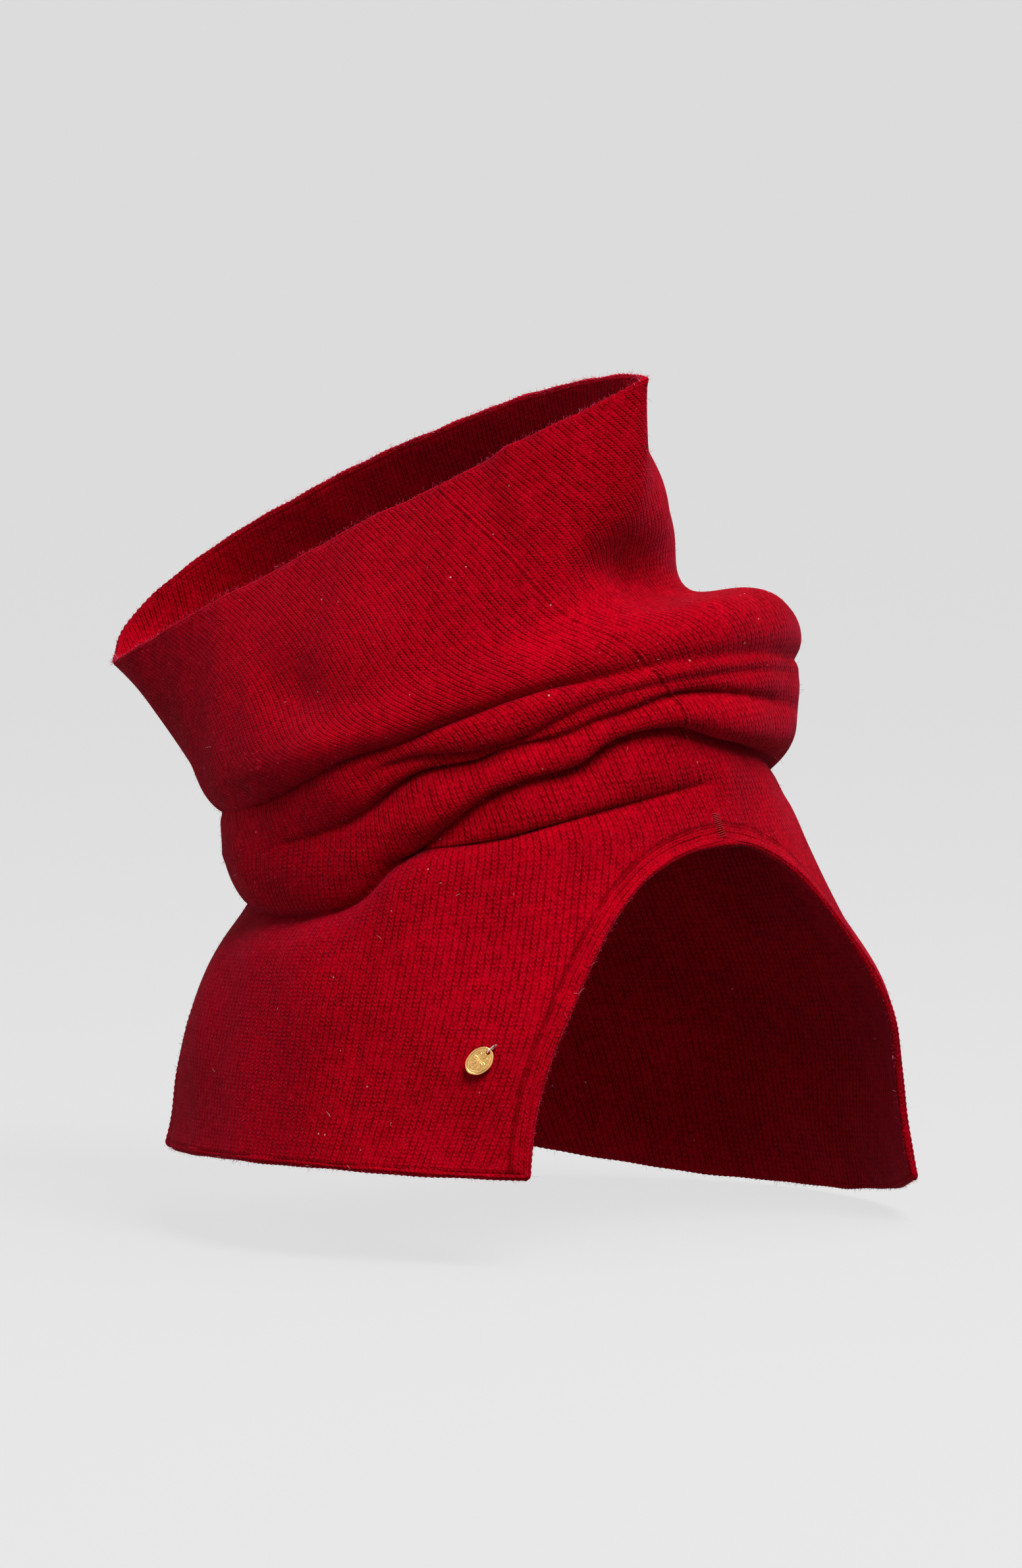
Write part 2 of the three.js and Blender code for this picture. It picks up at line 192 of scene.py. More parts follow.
def fabric_levels():
    """Middle, across, back and front vectors of every level, each an array of rows."""
    tip = -BACK_DROP / HEM_RADIUS
    found = [
        round_level(HEM_RADIUS, HEM_SHIFT, HEM_Z, 0.015, tip),
        round_level(MID_RADIUS, MID_SHIFT, MID_Z, 0.04, tip / 2),
        round_level(NECK_RADIUS, NECK_SHIFT, NECK_Z, NECK_LEAN),
        round_level(*LOW_FOLD),
        round_level(*HIGH_FOLD),
        collar_level(0.0),
        collar_level(0.5),
        collar_level(1.0),
    ]
    return [np.array([level[k] for level in found], float) for k in range(4)]


def through(points, share):
    """Smooth curve through rows of points, at a share counted in rows."""
    points = np.asarray(points, float)
    if points.ndim == 1:
        points = points[:, None]
    last = len(points) - 1
    share = np.clip(np.asarray(share, float), 0, last)
    low = np.minimum(share.astype(int), last - 1)
    t = (share - low)[..., None]
    carried = np.vstack([2 * points[0] - points[1], points, 2 * points[-1] - points[-2]])
    a, b, c, d = (carried[low + k] for k in range(4))
    return 0.5 * (2 * b + (c - a) * t + (2 * a - 5 * b + 4 * c - d) * t**2
                  + (3 * b - a - 3 * c + d) * t**3)


MIDDLES, ACROSSES, BACKS, FRONTS = fabric_levels()


def base_point(angle, level):
    """Points of the ungathered face at angles, in radians, and levels."""
    sine, cosine = np.sin(angle)[..., None], np.cos(angle)[..., None]
    back, front = through(BACKS, level), through(FRONTS, level)
    ease = 0.03 + 0.17 * (1 - cosine)
    bowed = (np.sqrt(sine**2 + ease**2) - ease) / (np.sqrt(1 + ease**2) - ease)
    depth = (back - front) / 2 * sine + (back + front) / 2 * bowed
    return through(MIDDLES, level) + through(ACROSSES, level) * cosine + depth


def unit(vectors):
    return vectors / np.maximum(np.linalg.norm(vectors, axis=-1, keepdims=True), 1e-9)


def base_frame(angle, level):
    """Outward and upward directions of the ungathered face."""
    step = 2e-3
    around = base_point(angle + step, level) - base_point(angle - step, level)
    high, low = np.minimum(level + step, RIM), np.maximum(level - step, 0)
    up = base_point(angle, high) - base_point(angle, low)
    outward = unit(np.cross(around, up))
    return outward, unit(np.cross(outward, around))


def run_length(points):
    """Length along a line of points, from 0 at its first."""
    return np.concatenate([[0], np.cumsum(np.linalg.norm(np.diff(points, axis=0), axis=1))])


def girth_tables(levels=141, angles=721):
    """Angle by share of the girth, for evenly spaced levels, share 0 at angle 0."""
    turn = np.linspace(-math.pi, math.pi, angles)
    rows = []
    for level in np.linspace(0, RIM, levels):
        length = run_length(base_point(turn, np.full(angles, level)))
        rows.append((length / length[-1] - np.interp(0, turn, length) / length[-1], turn))
    return rows


GIRTH = girth_tables()


def angle_at(share, level):
    """Angles at shares of the girth, wrung as the cloth is."""
    share = share + through(WRUNG, level)[..., 0]
    whole = np.floor(share + 0.5)
    rest = share - whole
    place = np.clip(level / RIM, 0, 1) * (len(GIRTH) - 1)
    low = np.minimum(place.astype(int), len(GIRTH) - 2)
    found = np.zeros_like(share)
    for row in np.unique(low):
        here = low == row
        below = np.interp(rest[here], *GIRTH[row])
        above = np.interp(rest[here], *GIRTH[row + 1])
        found[here] = below + (above - below) * (place[here] - row)
    return found + 2 * math.pi * whole


def spread(level):
    """Share of its angle at the neck that the cloth takes up at a level."""
    return np.clip(HEM_SPREAD + (1 - HEM_SPREAD) * level / BIB_TOP, HEM_SPREAD, 1)


def cloth_angle(half, width, level, half_width):
    """Angle of the cloth that lies a width, from the panel's middle, on a half."""
    middle, toward_left = (-0.25, 1) if half == "front" else (0.25, -1)
    return angle_at(middle + toward_left * width / half_width * spread(level) / 4, level)


def slit_width(half, level, half_width):
    """Cloth width, from the panel's middle, at which the slit's edge lies at a level."""
    sine = np.clip(level / SLIT_TOP, 0, 1)
    opening = SLIT_ANGLE[half] * (1 - sine**2) ** (ARCH_POWER / 2)
    return np.where(level < SLIT_TOP, half_width * (90 - opening) / 90 / spread(level), half_width)


# ---------------- gathers

# Each crease: its route as (angle in degrees, level, strength), how deep it is, how far its
# round shoulders reach, and how far the cloth above hangs over it, in millimetres.
CREASES = {
    "under_collar": dict(depth=12.5, reach=18, lap=2.8, route=[
        (-140, 4.3, 0.3), (-118, 3.7, 0.45), (-100, 3.62, 0.75), (-69, 4.08, 1), (-56, 4.16, 1),
        (-32, 4.18, 0.9), (-8, 4.15, 0.75), (3, 4.1, 0.7), (38, 4.0, 0.6), (70, 4.0, 0.5),
        (110, 4.1, 0.5), (150, 4.2, 0.5), (185, 4.3, 0.4), (220, 4.3, 0.3)]),
    "second": dict(depth=7.5, reach=8, lap=3.0, route=[
        (-86, 3.5, 0), (-70, 3.72, 0.8), (-58, 3.68, 1), (-46, 3.66, 1), (-36, 3.74, 0.7), (-24, 3.88, 0.5),
        (-8, 3.92, 0.5), (12, 3.88, 0.5), (34, 3.84, 0.3), (50, 3.84, 0)]),
    "third": dict(depth=13.0, reach=13, lap=4.5, route=[
        (-106, 2.75, 0), (-93, 2.85, 0.35), (-80, 3.12, 0.8), (-68, 3.42, 1.1), (-54, 3.46, 1.2),
        (-48, 3.5, 1), (-35, 3.54, 0.75), (-27, 3.64, 0.7), (-14, 3.72, 0.8), (-3, 3.72, 0.8),
        (10, 3.66, 0.6), (26, 3.6, 0.35), (48, 3.55, 0)]),
    "fourth": dict(depth=13.0, reach=17, lap=5.5, route=[
        (-150, 1.95, 0.6), (-125, 1.78, 0.75), (-104, 1.72, 0.85), (-84, 1.78, 0.9), (-74, 2.06, 0.8),
        (-69, 2.26, 0.9), (-55, 2.9, 0.9), (-44, 3.1, 0.8), (-31, 3.18, 1.0), (-22, 3.36, 1.15),
        (-9, 3.38, 0.8), (4, 3.26, 1.0), (14, 3.2, 1.0), (32, 3.1, 0.75), (60, 3.0, 0.65), (100, 2.9, 0.55),
        (140, 2.75, 0.5), (180, 2.3, 0.5), (210, 1.95, 0.6)]),
    "fifth": dict(depth=8.0, reach=12, lap=3.5, route=[
        (-78, 2.2, 0), (-70, 2.2, 0.7), (-58, 2.2, 0.95), (-47, 2.24, 1), (-34, 2.38, 0.9), (-21, 2.54, 0.8),
        (-5, 2.72, 0.5), (6, 2.86, 0)]),
    "back_low": dict(depth=7.0, reach=14, lap=3.0, route=[
        (40, 2.5, 0), (65, 2.55, 0.8), (95, 2.5, 1), (130, 2.4, 0.8), (155, 2.3, 0)]),
    "back_high": dict(depth=8.0, reach=14, lap=3.0, route=[
        (60, 3.6, 0), (85, 3.5, 0.8), (120, 3.45, 1), (160, 3.4, 0.9), (195, 3.4, 0.7), (225, 3.2, 0)]),
}

# Each roll: its route, how far it stands out, and its half height, in millimetres.
ROLLS = {
    "slack_roll": dict(height=10.0, reach=16, route=[
        (-30, 4.55, 0), (-10, 4.5, 0.3), (12, 4.45, 0.7), (35, 4.35, 1), (60, 4.3, 1), (100, 4.35, 0.7),
        (140, 4.4, 0.3), (165, 4.4, 0)]),
    "collar_dimple": dict(height=-12.0, reach=11, route=[
        (-24, 5.4, 0), (-12, 5.26, 0.5), (0, 5.14, 1), (14, 5.04, 1), (30, 5.0, 0.75), (50, 5.0, 0.5),
        (110, 5.0, 0)]),
    "side_roll": dict(height=10.0, reach=19, route=[
        (-76, 2.75, 0), (-96, 2.75, 0.4), (-115, 2.9, 0.85), (-135, 3.05, 1), (-160, 3.05, 1), (-190, 3.1, 0.7),
        (-220, 3.2, 0)]),
    "collar_swell": dict(height=7.0, reach=24, route=[
        (4, 5.9, 0), (22, 5.95, 0.7), (45, 5.95, 1), (70, 5.9, 0.6), (100, 5.9, 0)]),
    "collar_hollow": dict(height=-4.0, reach=11, route=[
        (-104, 5.9, 0), (-98, 5.7, 0.6), (-90, 5.45, 1), (-80, 5.2, 0.9), (-68, 5.0, 0.4), (-58, 4.9, 0)]),
    "pressed_line": dict(height=-0.7, reach=2.2, route=[
        (-76.5, 0.0, 0.6), (-75.5, 0.5, 1), (-75, 1.0, 1), (-75, 1.5, 0.7), (-74.5, 1.7, 0)]),
    "third_roll": dict(height=3.0, reach=9, route=[
        (-80, 2.6, 0), (-66, 2.95, 1), (-52, 3.2, 1), (-36, 3.36, 1), (-20, 3.56, 1), (0, 3.5, 1),
        (20, 3.4, 1), (45, 3.4, 1), (80, 3.3, 0.5), (100, 3.3, 0)]),
    "waist": dict(height=-4.0, reach=14, route=[
        (-70, 1.7, 0), (-100, 1.7, 0.6), (-120, 1.75, 1), (-150, 1.8, 0.9), (-185, 1.9, 0)]),
    "right_bib_swell": dict(height=2.0, reach=30, route=[
        (-110, 0.9, 0), (-128, 0.95, 1), (-160, 0.9, 0.6), (-180, 0.9, 0)]),
    "left_back_swell": dict(height=6.0, reach=34, route=[
        (20, 1.2, 0.6), (34, 1.1, 1), (46, 1.05, 1), (62, 1.0, 0.5), (80, 1.0, 0)]),
    "seam_ridge": dict(height=1.6, reach=8, route=[
        (-49, 7.0, 1), (-46, 6.6, 1), (-40, 6.2, 0.9), (-33, 5.9, 0.7), (-24, 5.5, 0.4), (-18, 5.22, 0)]),
    "hem_kick": dict(height=2.0, reach=20, route=[
        (-150, 0.1, -1.2), (-125, 0.0, -1.2), (-90, 0.0, 0), (-60, 0.0, 0.4), (-45, 0.0, 1)]),
}


def routed(route, steps=160):
    """Points along a route of (angle, level, strength)."""
    share = np.linspace(0, len(route) - 1, steps)
    angle, level, _ = through(np.array(route, float), share).T
    return base_point(np.radians(angle), level)


FADE = 14.0  # degrees beyond either end of a route over which its strength dies away


def strength_at(route, angle):
    """How strong a crease or roll is at angles, in degrees."""
    marks, _, strengths = np.array(sorted(route), float).T
    start, end = marks[0], marks[-1]
    turned = (angle - start) % 360 + start
    before = np.clip(1 - (start + 360 - turned) / FADE, 0, 1) * strengths[0]
    after = np.clip(1 - (turned - end) / FADE, 0, 1) * strengths[-1]
    return np.where(turned > end, np.maximum(before, after), np.interp(turned, marks, strengths))


def nearest(points, line):
    """Distance from each point to a line of points, and the nearest point's index."""
    apart = (points**2).sum(1)[:, None] + (line**2).sum(1)[None] - 2 * points @ line.T
    index = apart.argmin(1)
    tangent = np.gradient(line, axis=0)
    step = np.linalg.norm(tangent, axis=1)[index]
    tangent = unit(tangent)[index]
    gap = points - line[index]
    along = np.clip((gap * tangent).sum(1), -step, step)
    return np.linalg.norm(gap - tangent * along[:, None], axis=1), index


def gather(points, outward, up, angle):
    """Moves the face into its creases and rolls."""
    push = np.zeros(len(points))
    slide = np.zeros(len(points))
    for roll in ROLLS.values():
        distance, _ = nearest(points, routed(roll["route"]))
        strength = strength_at(roll["route"], angle)
        push += roll["height"] * strength * np.exp(-((distance / roll["reach"]) ** 2))
    for crease in CREASES.values():
        line = routed(crease["route"])
        distance, index = nearest(points, line)
        strength = strength_at(crease["route"], angle)
        across = ((points - line[index]) * up).sum(1)
        share = np.clip(distance / crease["reach"], 0, 1)
        shoulder = np.sqrt(np.clip(1 - (1 - share) ** 2, 0, 1))
        push -= crease["depth"] * strength * (1 - shoulder)
        above = np.where(across > 0, distance / (0.45 * crease["reach"]), 0)
        slide -= crease["lap"] * strength * above * np.exp(1 - above)
    return points + outward * push[:, None] + up * slide[:, None]


def ripple(points, outward, amount=0.55):
    """Small uneven swells that keep any stretch of cloth from being too even."""
    x, y, z = points.T
    swell = (np.sin(x * 0.071 + 0.9 * np.sin(z * 0.05)) * np.sin(y * 0.063 + 1.3)
             + 0.7 * np.sin(z * 0.11 + x * 0.045 + 2.1 * np.sin(y * 0.04))
             + 0.5 * np.sin(x * 0.16 - y * 0.13 + z * 0.09))
    return points + outward * (amount * swell)[:, None]


# ---------------- the cloth as built

def settings():
    return bpy.context.scene.gaiter_knit


def cloth_face(half, width, level):
    """Points of the finished outer face, with its outward and upward directions."""
    half_width = settings().half_width
    angle = cloth_angle(half, width, level, half_width)
    outward, up = base_frame(angle, level)
    lip = np.clip(1 - level / 0.35, 0, 1) ** 2
    edge = slit_width(half, level, half_width) - np.abs(width)
    roll_out = np.where(level < SLIT_TOP, np.clip(1 - edge / 14, 0, 1) ** 2, 0)
    points = base_point(angle, level) + outward * (1.6 * roll_out + 0.8 * lip)[:, None]
    if half == "back":  # its hem hangs lower in the middle
        points[:, 2] -= 8.0 * np.clip(1 - (width / 110) ** 2, 0, 1) * np.clip(1 - level / 1.6, 0, 1) ** 1.5
    points = gather(points, outward, up, np.degrees(angle))
    return ripple(points, outward), outward, up


def level_rows(low, high):
    """Levels of the mesh rows between two levels, closer together in the gathers."""
    rows = np.cumsum([0, 34, 36, 22, 34, 26, 22, 22])
    marks = np.arange(len(rows))
    first, last = np.interp([low, high], marks, rows)
    return np.interp(np.linspace(first, last, int(round(last - first)) + 1), rows, marks)


def padded(values):
    """The array with one more row and column on each side, carried straight on."""
    values = np.vstack([2 * values[:1] - values[1:2], values, 2 * values[-1:] - values[-2:-1]])
    return np.hstack([2 * values[:, :1] - values[:, 1:2], values, 2 * values[:, -1:] - values[:, -2:-1]])


def eased(points, level, passes):
    """Rubs out sharp steps in the face, except next to where the bib meets the collar."""
    keep = np.clip(1 - np.abs(level - PARTING) / 0.12, 0, 1)[1:-1, 1:-1, None]
    for _ in range(passes):
        middle = points[1:-1, 1:-1]
        mean = (points[:-2, 1:-1] + points[2:, 1:-1] + points[1:-1, :-2] + points[1:-1, 2:]) / 4
        points[1:-1, 1:-1] = middle + (mean - middle) * 0.5 * (1 - keep)
    return points


def patch(half, width, level, passes=0):
    """Outer face and outward directions for rows and columns of cloth places."""
    wide, tall = padded(width), np.clip(padded(level), 0, RIM)
    tall[0] = np.where(tall[0] >= tall[1], tall[1] - 1e-3, tall[0])
    points = cloth_face(half, wide.ravel(), tall.ravel())[0].reshape(*wide.shape, 3)
    points = eased(points, tall, passes)
    if level[0].max() <= 1e-6:
        points[0] = 2 * points[1] - points[2]
    if level[-1].min() >= RIM - 1e-6:
        points[-1] = 2 * points[-2] - points[-3]
    outward = unit(np.cross(np.gradient(points, axis=1), np.gradient(points, axis=0)))
    middle = wide.shape[0] // 2, wide.shape[1] // 2
    if half == "back" and (outward[middle] * points[middle]).sum() < 0:
        outward = -outward
    return points[1:-1, 1:-1], outward[1:-1, 1:-1]


def mean_lengths(levels=281, columns=29, reach=140.0):
    """Cloth length from the hem up to evenly spaced levels, averaged round the garment."""
    level = np.linspace(0, RIM, levels)
    grid_width, grid_level = np.meshgrid(np.linspace(-reach, reach, columns), level)
    total = np.zeros(levels)
    for half in HALVES:
        points = cloth_face(half, grid_width.ravel(), grid_level.ravel())[0].reshape(levels, columns, 3)
        rise = np.linalg.norm(np.diff(points, axis=0), axis=2).mean(1)
        total += np.concatenate([[0], np.cumsum(rise)]) / 2
    return level, total


# ---------------- mesh helpers

def finish_mesh(bm, name, material, smooth=True):
    """Makes an object of a finished bmesh, in place of any old one, and gives it its material."""
    old = bpy.data.objects.get(name)
    if old is not None:
        bpy.data.objects.remove(old, do_unlink=True)
    mesh = bpy.data.meshes.new(name)
    bm.to_mesh(mesh)
    bm.free()
    mesh.materials.append(material)
    for polygon in mesh.polygons:
        polygon.use_smooth = smooth
    made = bpy.data.objects.new(name, mesh)
    bpy.context.scene.collection.objects.link(made)
    return made


def laid_grid(points, layers):
    """A bmesh grid through rows and columns of points, in millimetres, with its UV layers."""
    rows, columns = points.shape[:2]
    bm = bmesh.new()
    bmesh.ops.create_grid(bm, x_segments=columns - 1, y_segments=rows - 1, size=1)
    bm.verts.ensure_lookup_table()
    for vert, point in zip(bm.verts, points.reshape(-1, 3)):
        vert.co = Vector(point) * MM
    for name, values in layers.items():
        flat = values.reshape(-1, 2) * MM
        layer = bm.loops.layers.uv.new(name)
        for face in bm.faces:
            for loop in face.loops:
                loop[layer].uv = flat[loop.vert.index]
    return bm


def closed(bm):
    """Welds a shell's meeting edges and turns its faces outwards."""
    bmesh.ops.remove_doubles(bm, verts=bm.verts, dist=1e-7)
    bmesh.ops.dissolve_degenerate(bm, dist=1e-8, edges=bm.edges)
    bmesh.ops.recalc_face_normals(bm, faces=bm.faces)
    return bm


def shell(face, outward, thickness, bulge, layers):
    """Cloth with a wall: an outer and an inner face joined round their edges."""
    middle = face - outward * thickness / 2
    inner = face - outward * thickness
    low, high, side = bulge

    def loop_of(outer_rows, inner_rows, left, right):
        return np.concatenate([outer_rows, right[:, None], inner_rows[:, ::-1], left[:, None],
                               outer_rows[:, :1]], axis=1)

    left = middle[:, 0] + unit(middle[:, 0] - middle[:, 1]) * side
    right = middle[:, -1] + unit(middle[:, -1] - middle[:, -2]) * side
    body = loop_of(face, inner, left, right)
    down = unit(middle[0] - middle[1]) * low
    up = unit(middle[-1] - middle[-2]) * high
    ends = []
    for k, drift in ((0, down), (-1, up)):
        row = (middle[k] + drift)[None]
        ends.append(loop_of(row, row, left[k][None] + drift[:1], right[k][None] + drift[-1:]))
    points = np.concatenate([ends[0], body, ends[1]], axis=0)
    wrapped = {}
    for name, values in layers.items():
        rows = np.concatenate([values[:1], values, values[-1:]], axis=0)
        wrapped[name] = loop_of(rows, rows, rows[:, 0], rows[:, -1])
    return closed(laid_grid(points, wrapped))


def swept(path, side, radii, ring=False):
    """A rope swept along a path; side gives its reference directions, radii rows by columns."""
    if ring:
        tangent = unit(np.roll(path, -1, axis=0) - np.roll(path, 1, axis=0))
    else:
        tangent = unit(np.gradient(path, axis=0))
    side = unit(side - tangent * (side * tangent).sum(1)[:, None])
    across = np.cross(tangent, side)
    turn = np.linspace(0, 2 * math.pi, radii.shape[1])
    spoke = side[:, None] * np.cos(turn)[None, :, None] + across[:, None] * np.sin(turn)[None, :, None]
    points = path[:, None] + spoke * radii[:, :, None]
    along = run_length(path)
    places = np.stack(np.broadcast_arrays(turn[None] * radii.mean(), along[:, None]), axis=-1)
    if ring:
        points = np.concatenate([points, points[:1]], axis=0)
        gap = np.linalg.norm(path[0] - path[-1])
        places = np.concatenate([places, places[:1] + [0, along[-1] + gap]], axis=0)
    else:
        first, last = (np.tile(path[k] + tangent[k] * radii[k].mean() * swell, (1, len(turn), 1))
                       for k, swell in ((0, -0.6), (-1, 0.6)))
        points = np.concatenate([first, points, last], axis=0)
        places = np.concatenate([places[:1], places, places[-1:]], axis=0)
    return closed(laid_grid(points, {"places": places}))


def resampled(path, step):
    """The path again with points a step apart, and the length along it at each."""
    length = run_length(path)
    target = np.linspace(0, length[-1], max(int(length[-1] / step), 2) + 1)
    return np.stack([np.interp(target, length, path[:, k]) for k in range(3)], axis=1), target


def rope(path, side, step, sides, radius, ring=False):
    """A rope whose radius depends on the length along it and the turn round it."""
    fine, along = resampled(np.concatenate([path, path[:1]]) if ring else path, step)
    if ring:
        fine, along = fine[:-1], along[:-1]
    _, index = nearest(fine, path)
    radii = radius(along[:, None], np.linspace(0, 2 * math.pi, sides + 1)[None])
    radii[:, -1] = radii[:, 0]
    return swept(fine, unit(side[index]), radii, ring)


# ---------------- materials

def new_shader(name):
    """A fresh material, its node tree and its main shader."""
    old = bpy.data.materials.get(name)
    if old is not None:
        bpy.data.materials.remove(old)
    material = bpy.data.materials.new(name)
    material.use_nodes = True
    return material, material.node_tree, material.node_tree.nodes["Principled BSDF"]


def attach(tree, value, socket):
    """Feeds a socket from another socket or with a constant."""
    if isinstance(value, bpy.types.NodeSocket):
        tree.links.new(value, socket)
    else:
        socket.default_value = value


def dress(tree, node, values):
    """Feeds the named inputs of a node."""
    for name, value in values.items():
        attach(tree, value, node.inputs[name])


def formula(tree, operation, *values):
    node = tree.nodes.new("ShaderNodeMath")
    node.operation = operation
    for value, socket in zip(values, node.inputs):
        attach(tree, value, socket)
    return node.outputs[0]


def ramp(tree, value, low, high, start=0.0, end=1.0):
    """Smoothly turns a range of values into another."""
    node = tree.nodes.new("ShaderNodeMapRange")
    node.interpolation_type = "SMOOTHSTEP"
    for k, given in enumerate((value, low, high, start, end)):
        attach(tree, given, node.inputs[k])
    return node.outputs["Result"]


def blended(tree, share, first, second):
    """The first colour, turning into the second as the share grows."""
    node = tree.nodes.new("ShaderNodeMix")
    node.data_type = "RGBA"
    for k, value in ((0, share), (6, first), (7, second)):
        attach(tree, value, node.inputs[k])
    return node.outputs[2]


def noise(tree, where, scale, detail=2.0, rough=0.5):
    node = tree.nodes.new("ShaderNodeTexNoise")
    dress(tree, node, {"Vector": where, "Scale": scale, "Detail": detail, "Roughness": rough})
    return node.outputs["Fac"]


def object_place(tree):
    return tree.nodes.new("ShaderNodeTexCoord").outputs["Object"]


def surface_place(tree, layer):
    """Across and along values of a UV layer."""
    source = tree.nodes.new("ShaderNodeUVMap")
    source.uv_map = layer
    split = tree.nodes.new("ShaderNodeSeparateXYZ")
    tree.links.new(source.outputs[0], split.inputs[0])
    return split.outputs[0], split.outputs[1]


def bump(tree, height, distance, strength=1.0, under=None):
    node = tree.nodes.new("ShaderNodeBump")
    dress(tree, node, {"Distance": distance, "Strength": strength, "Height": height})
    if under is not None:
        tree.links.new(under, node.inputs["Normal"])
    return node.outputs[0]


def stitches(tree, across, along, pitch, course, lean=1.35):
    """Height of plain knit stitches: paired legs that meet in a V along each column."""
    column = formula(tree, "DIVIDE", across, pitch * MM)
    row = formula(tree, "DIVIDE", along, course * MM)
    aside = formula(tree, "PINGPONG", column, 0.5)
    rib = formula(tree, "SUBTRACT", 1.0, formula(tree, "POWER", formula(tree, "MULTIPLY", aside, 2.0), 3.0))
    cleft = ramp(tree, aside, 0.0, 0.13, 0.3, 0.0)
    phase = formula(tree, "SUBTRACT", row, formula(tree, "MULTIPLY", aside, lean))
    loop = formula(tree, "COSINE", formula(tree, "MULTIPLY", phase, 2 * math.pi))
    loop = formula(tree, "MULTIPLY_ADD", loop, 0.22, 0.78)
    return formula(tree, "SUBTRACT", formula(tree, "MULTIPLY", rib, loop), cleft)


def knit_material(name, banded=False, on_rope=False):
    """Brushed wool knit: stitches, painted shade where the stitches and fibres sink, loose nap, uneven dye and
    a few pale specks of lint.
    """
    s = settings()
    material, tree, main = new_shader(name)
    here = object_place(tree)
    across, along = surface_place(tree, "places" if on_rope else "cloth")
    drift, wobble = (formula(tree, "MULTIPLY_ADD", noise(tree, here, scale, detail), 0.9 * MM, -0.45 * MM)
                     for scale, detail in ((140.0, 2.0), (260.0, 1.0)))
    across, along = formula(tree, "ADD", across, drift), formula(tree, "ADD", along, wobble)
    height = stitches(tree, across, along, s.wale_pitch, s.course_pitch)
    if banded:
        edge, run = surface_place(tree, "band")
        edge = formula(tree, "ADD", edge, drift)
        border = stitches(tree, edge, run, 2.0, s.course_pitch)
        inside = ramp(tree, edge, (s.band_width - 0.5) * MM, s.band_width * MM)
        groove = formula(tree, "MULTIPLY", ramp(tree, edge, (s.band_width - 1.0) * MM, s.band_width * MM),
                         ramp(tree, edge, s.band_width * MM, (s.band_width + 1.3) * MM, 1.0, 0.0))
        chosen = tree.nodes.new("ShaderNodeMix")
        for k, value in ((0, inside), (2, border), (3, height)):
            attach(tree, value, chosen.inputs[k])
        height = formula(tree, "SUBTRACT", chosen.outputs[0], formula(tree, "MULTIPLY", groove, 0.7))
    fluff = noise(tree, here, 1100.0, 3.0, 0.7)
    strand = noise(tree, here, 480.0, 2.0, 0.6)
    fibres = formula(tree, "MULTIPLY_ADD", fluff, 0.55, formula(tree, "MULTIPLY", strand, 0.45))
    felted = ramp(tree, noise(tree, here, 210.0, 2.0), 0.36, 0.66)
    cover = formula(tree, "MULTIPLY_ADD", felted, 0.55, 0.45)
    height = formula(tree, "ADD", formula(tree, "MULTIPLY", height, cover),
                     formula(tree, "MULTIPLY", formula(tree, "SUBTRACT", 1.0, cover), 0.75))
    raised = formula(tree, "MULTIPLY_ADD", fibres, 1.7, formula(tree, "SUBTRACT", height, 0.95))
    # Painted shade: the lower the stitch relief and the fibres, the more the red turns to the painted stitch
    # shade.
    lit = ramp(tree, raised, 0.05, 1.0)
    colour = blended(tree, lit, tuple(s.stitch_shade_red), tuple(s.red))
    cloudy = ramp(tree, noise(tree, here, 24.0, 3.0), 0.3, 0.7, 0.88, 1.1)
    shade = tree.nodes.new("ShaderNodeHueSaturation")
    dress(tree, shade, {"Value": cloudy, "Color": colour})
    fuzz = ramp(tree, fluff, 0.58, 0.75, 0.0, 0.3)
    colour = blended(tree, fuzz, shade.outputs[0], tuple(s.nap))
    speck = tree.nodes.new("ShaderNodeTexVoronoi")
    dress(tree, speck, {"Vector": here, "Scale": 190.0})
    lint = formula(tree, "MULTIPLY", ramp(tree, speck.outputs["Distance"], 0.05, 0.09, 1.0, 0.0),
                   ramp(tree, noise(tree, here, 90.0, 0.0), 0.66, 0.7))
    colour = blended(tree, formula(tree, "MULTIPLY", lint, 0.55), colour, (0.75, 0.45, 0.45, 1.0))
    dress(tree, main, {
        "Base Color": colour,
        "Roughness": ramp(tree, lit, 0.0, 1.0, 0.97, 0.86),
        "Specular IOR Level": 0.03,
        "Specular Tint": (1.0, 0.3, 0.35, 1.0),
        "Sheen Weight": 0.2,
        "Sheen Roughness": 0.35,
        "Sheen Tint": (1.0, 0.05, 0.16, 1.0),
        "Normal": bump(tree, height, 0.48 * MM, 1.0, bump(tree, fibres, 0.6 * MM, 0.9)),
    })
    return material


# ---------------- cloth pieces

SLIT_ROWS, TOP_ROWS = 66, 9  # mesh rows of a bib along its slits, and above them


def follows_collar(piece):
    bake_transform(piece)


def follows_bib(piece):
    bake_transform(piece)


def column_count(width):
    return int(round(2 * width / settings().column_step)) + 1


def collar_places():
    """Cloth widths and levels of the upper cloth, rows by columns."""
    half_width = settings().half_width
    width = np.linspace(-half_width, half_width, column_count(half_width))
    return np.meshgrid(width, level_rows(PARTING, RIM))


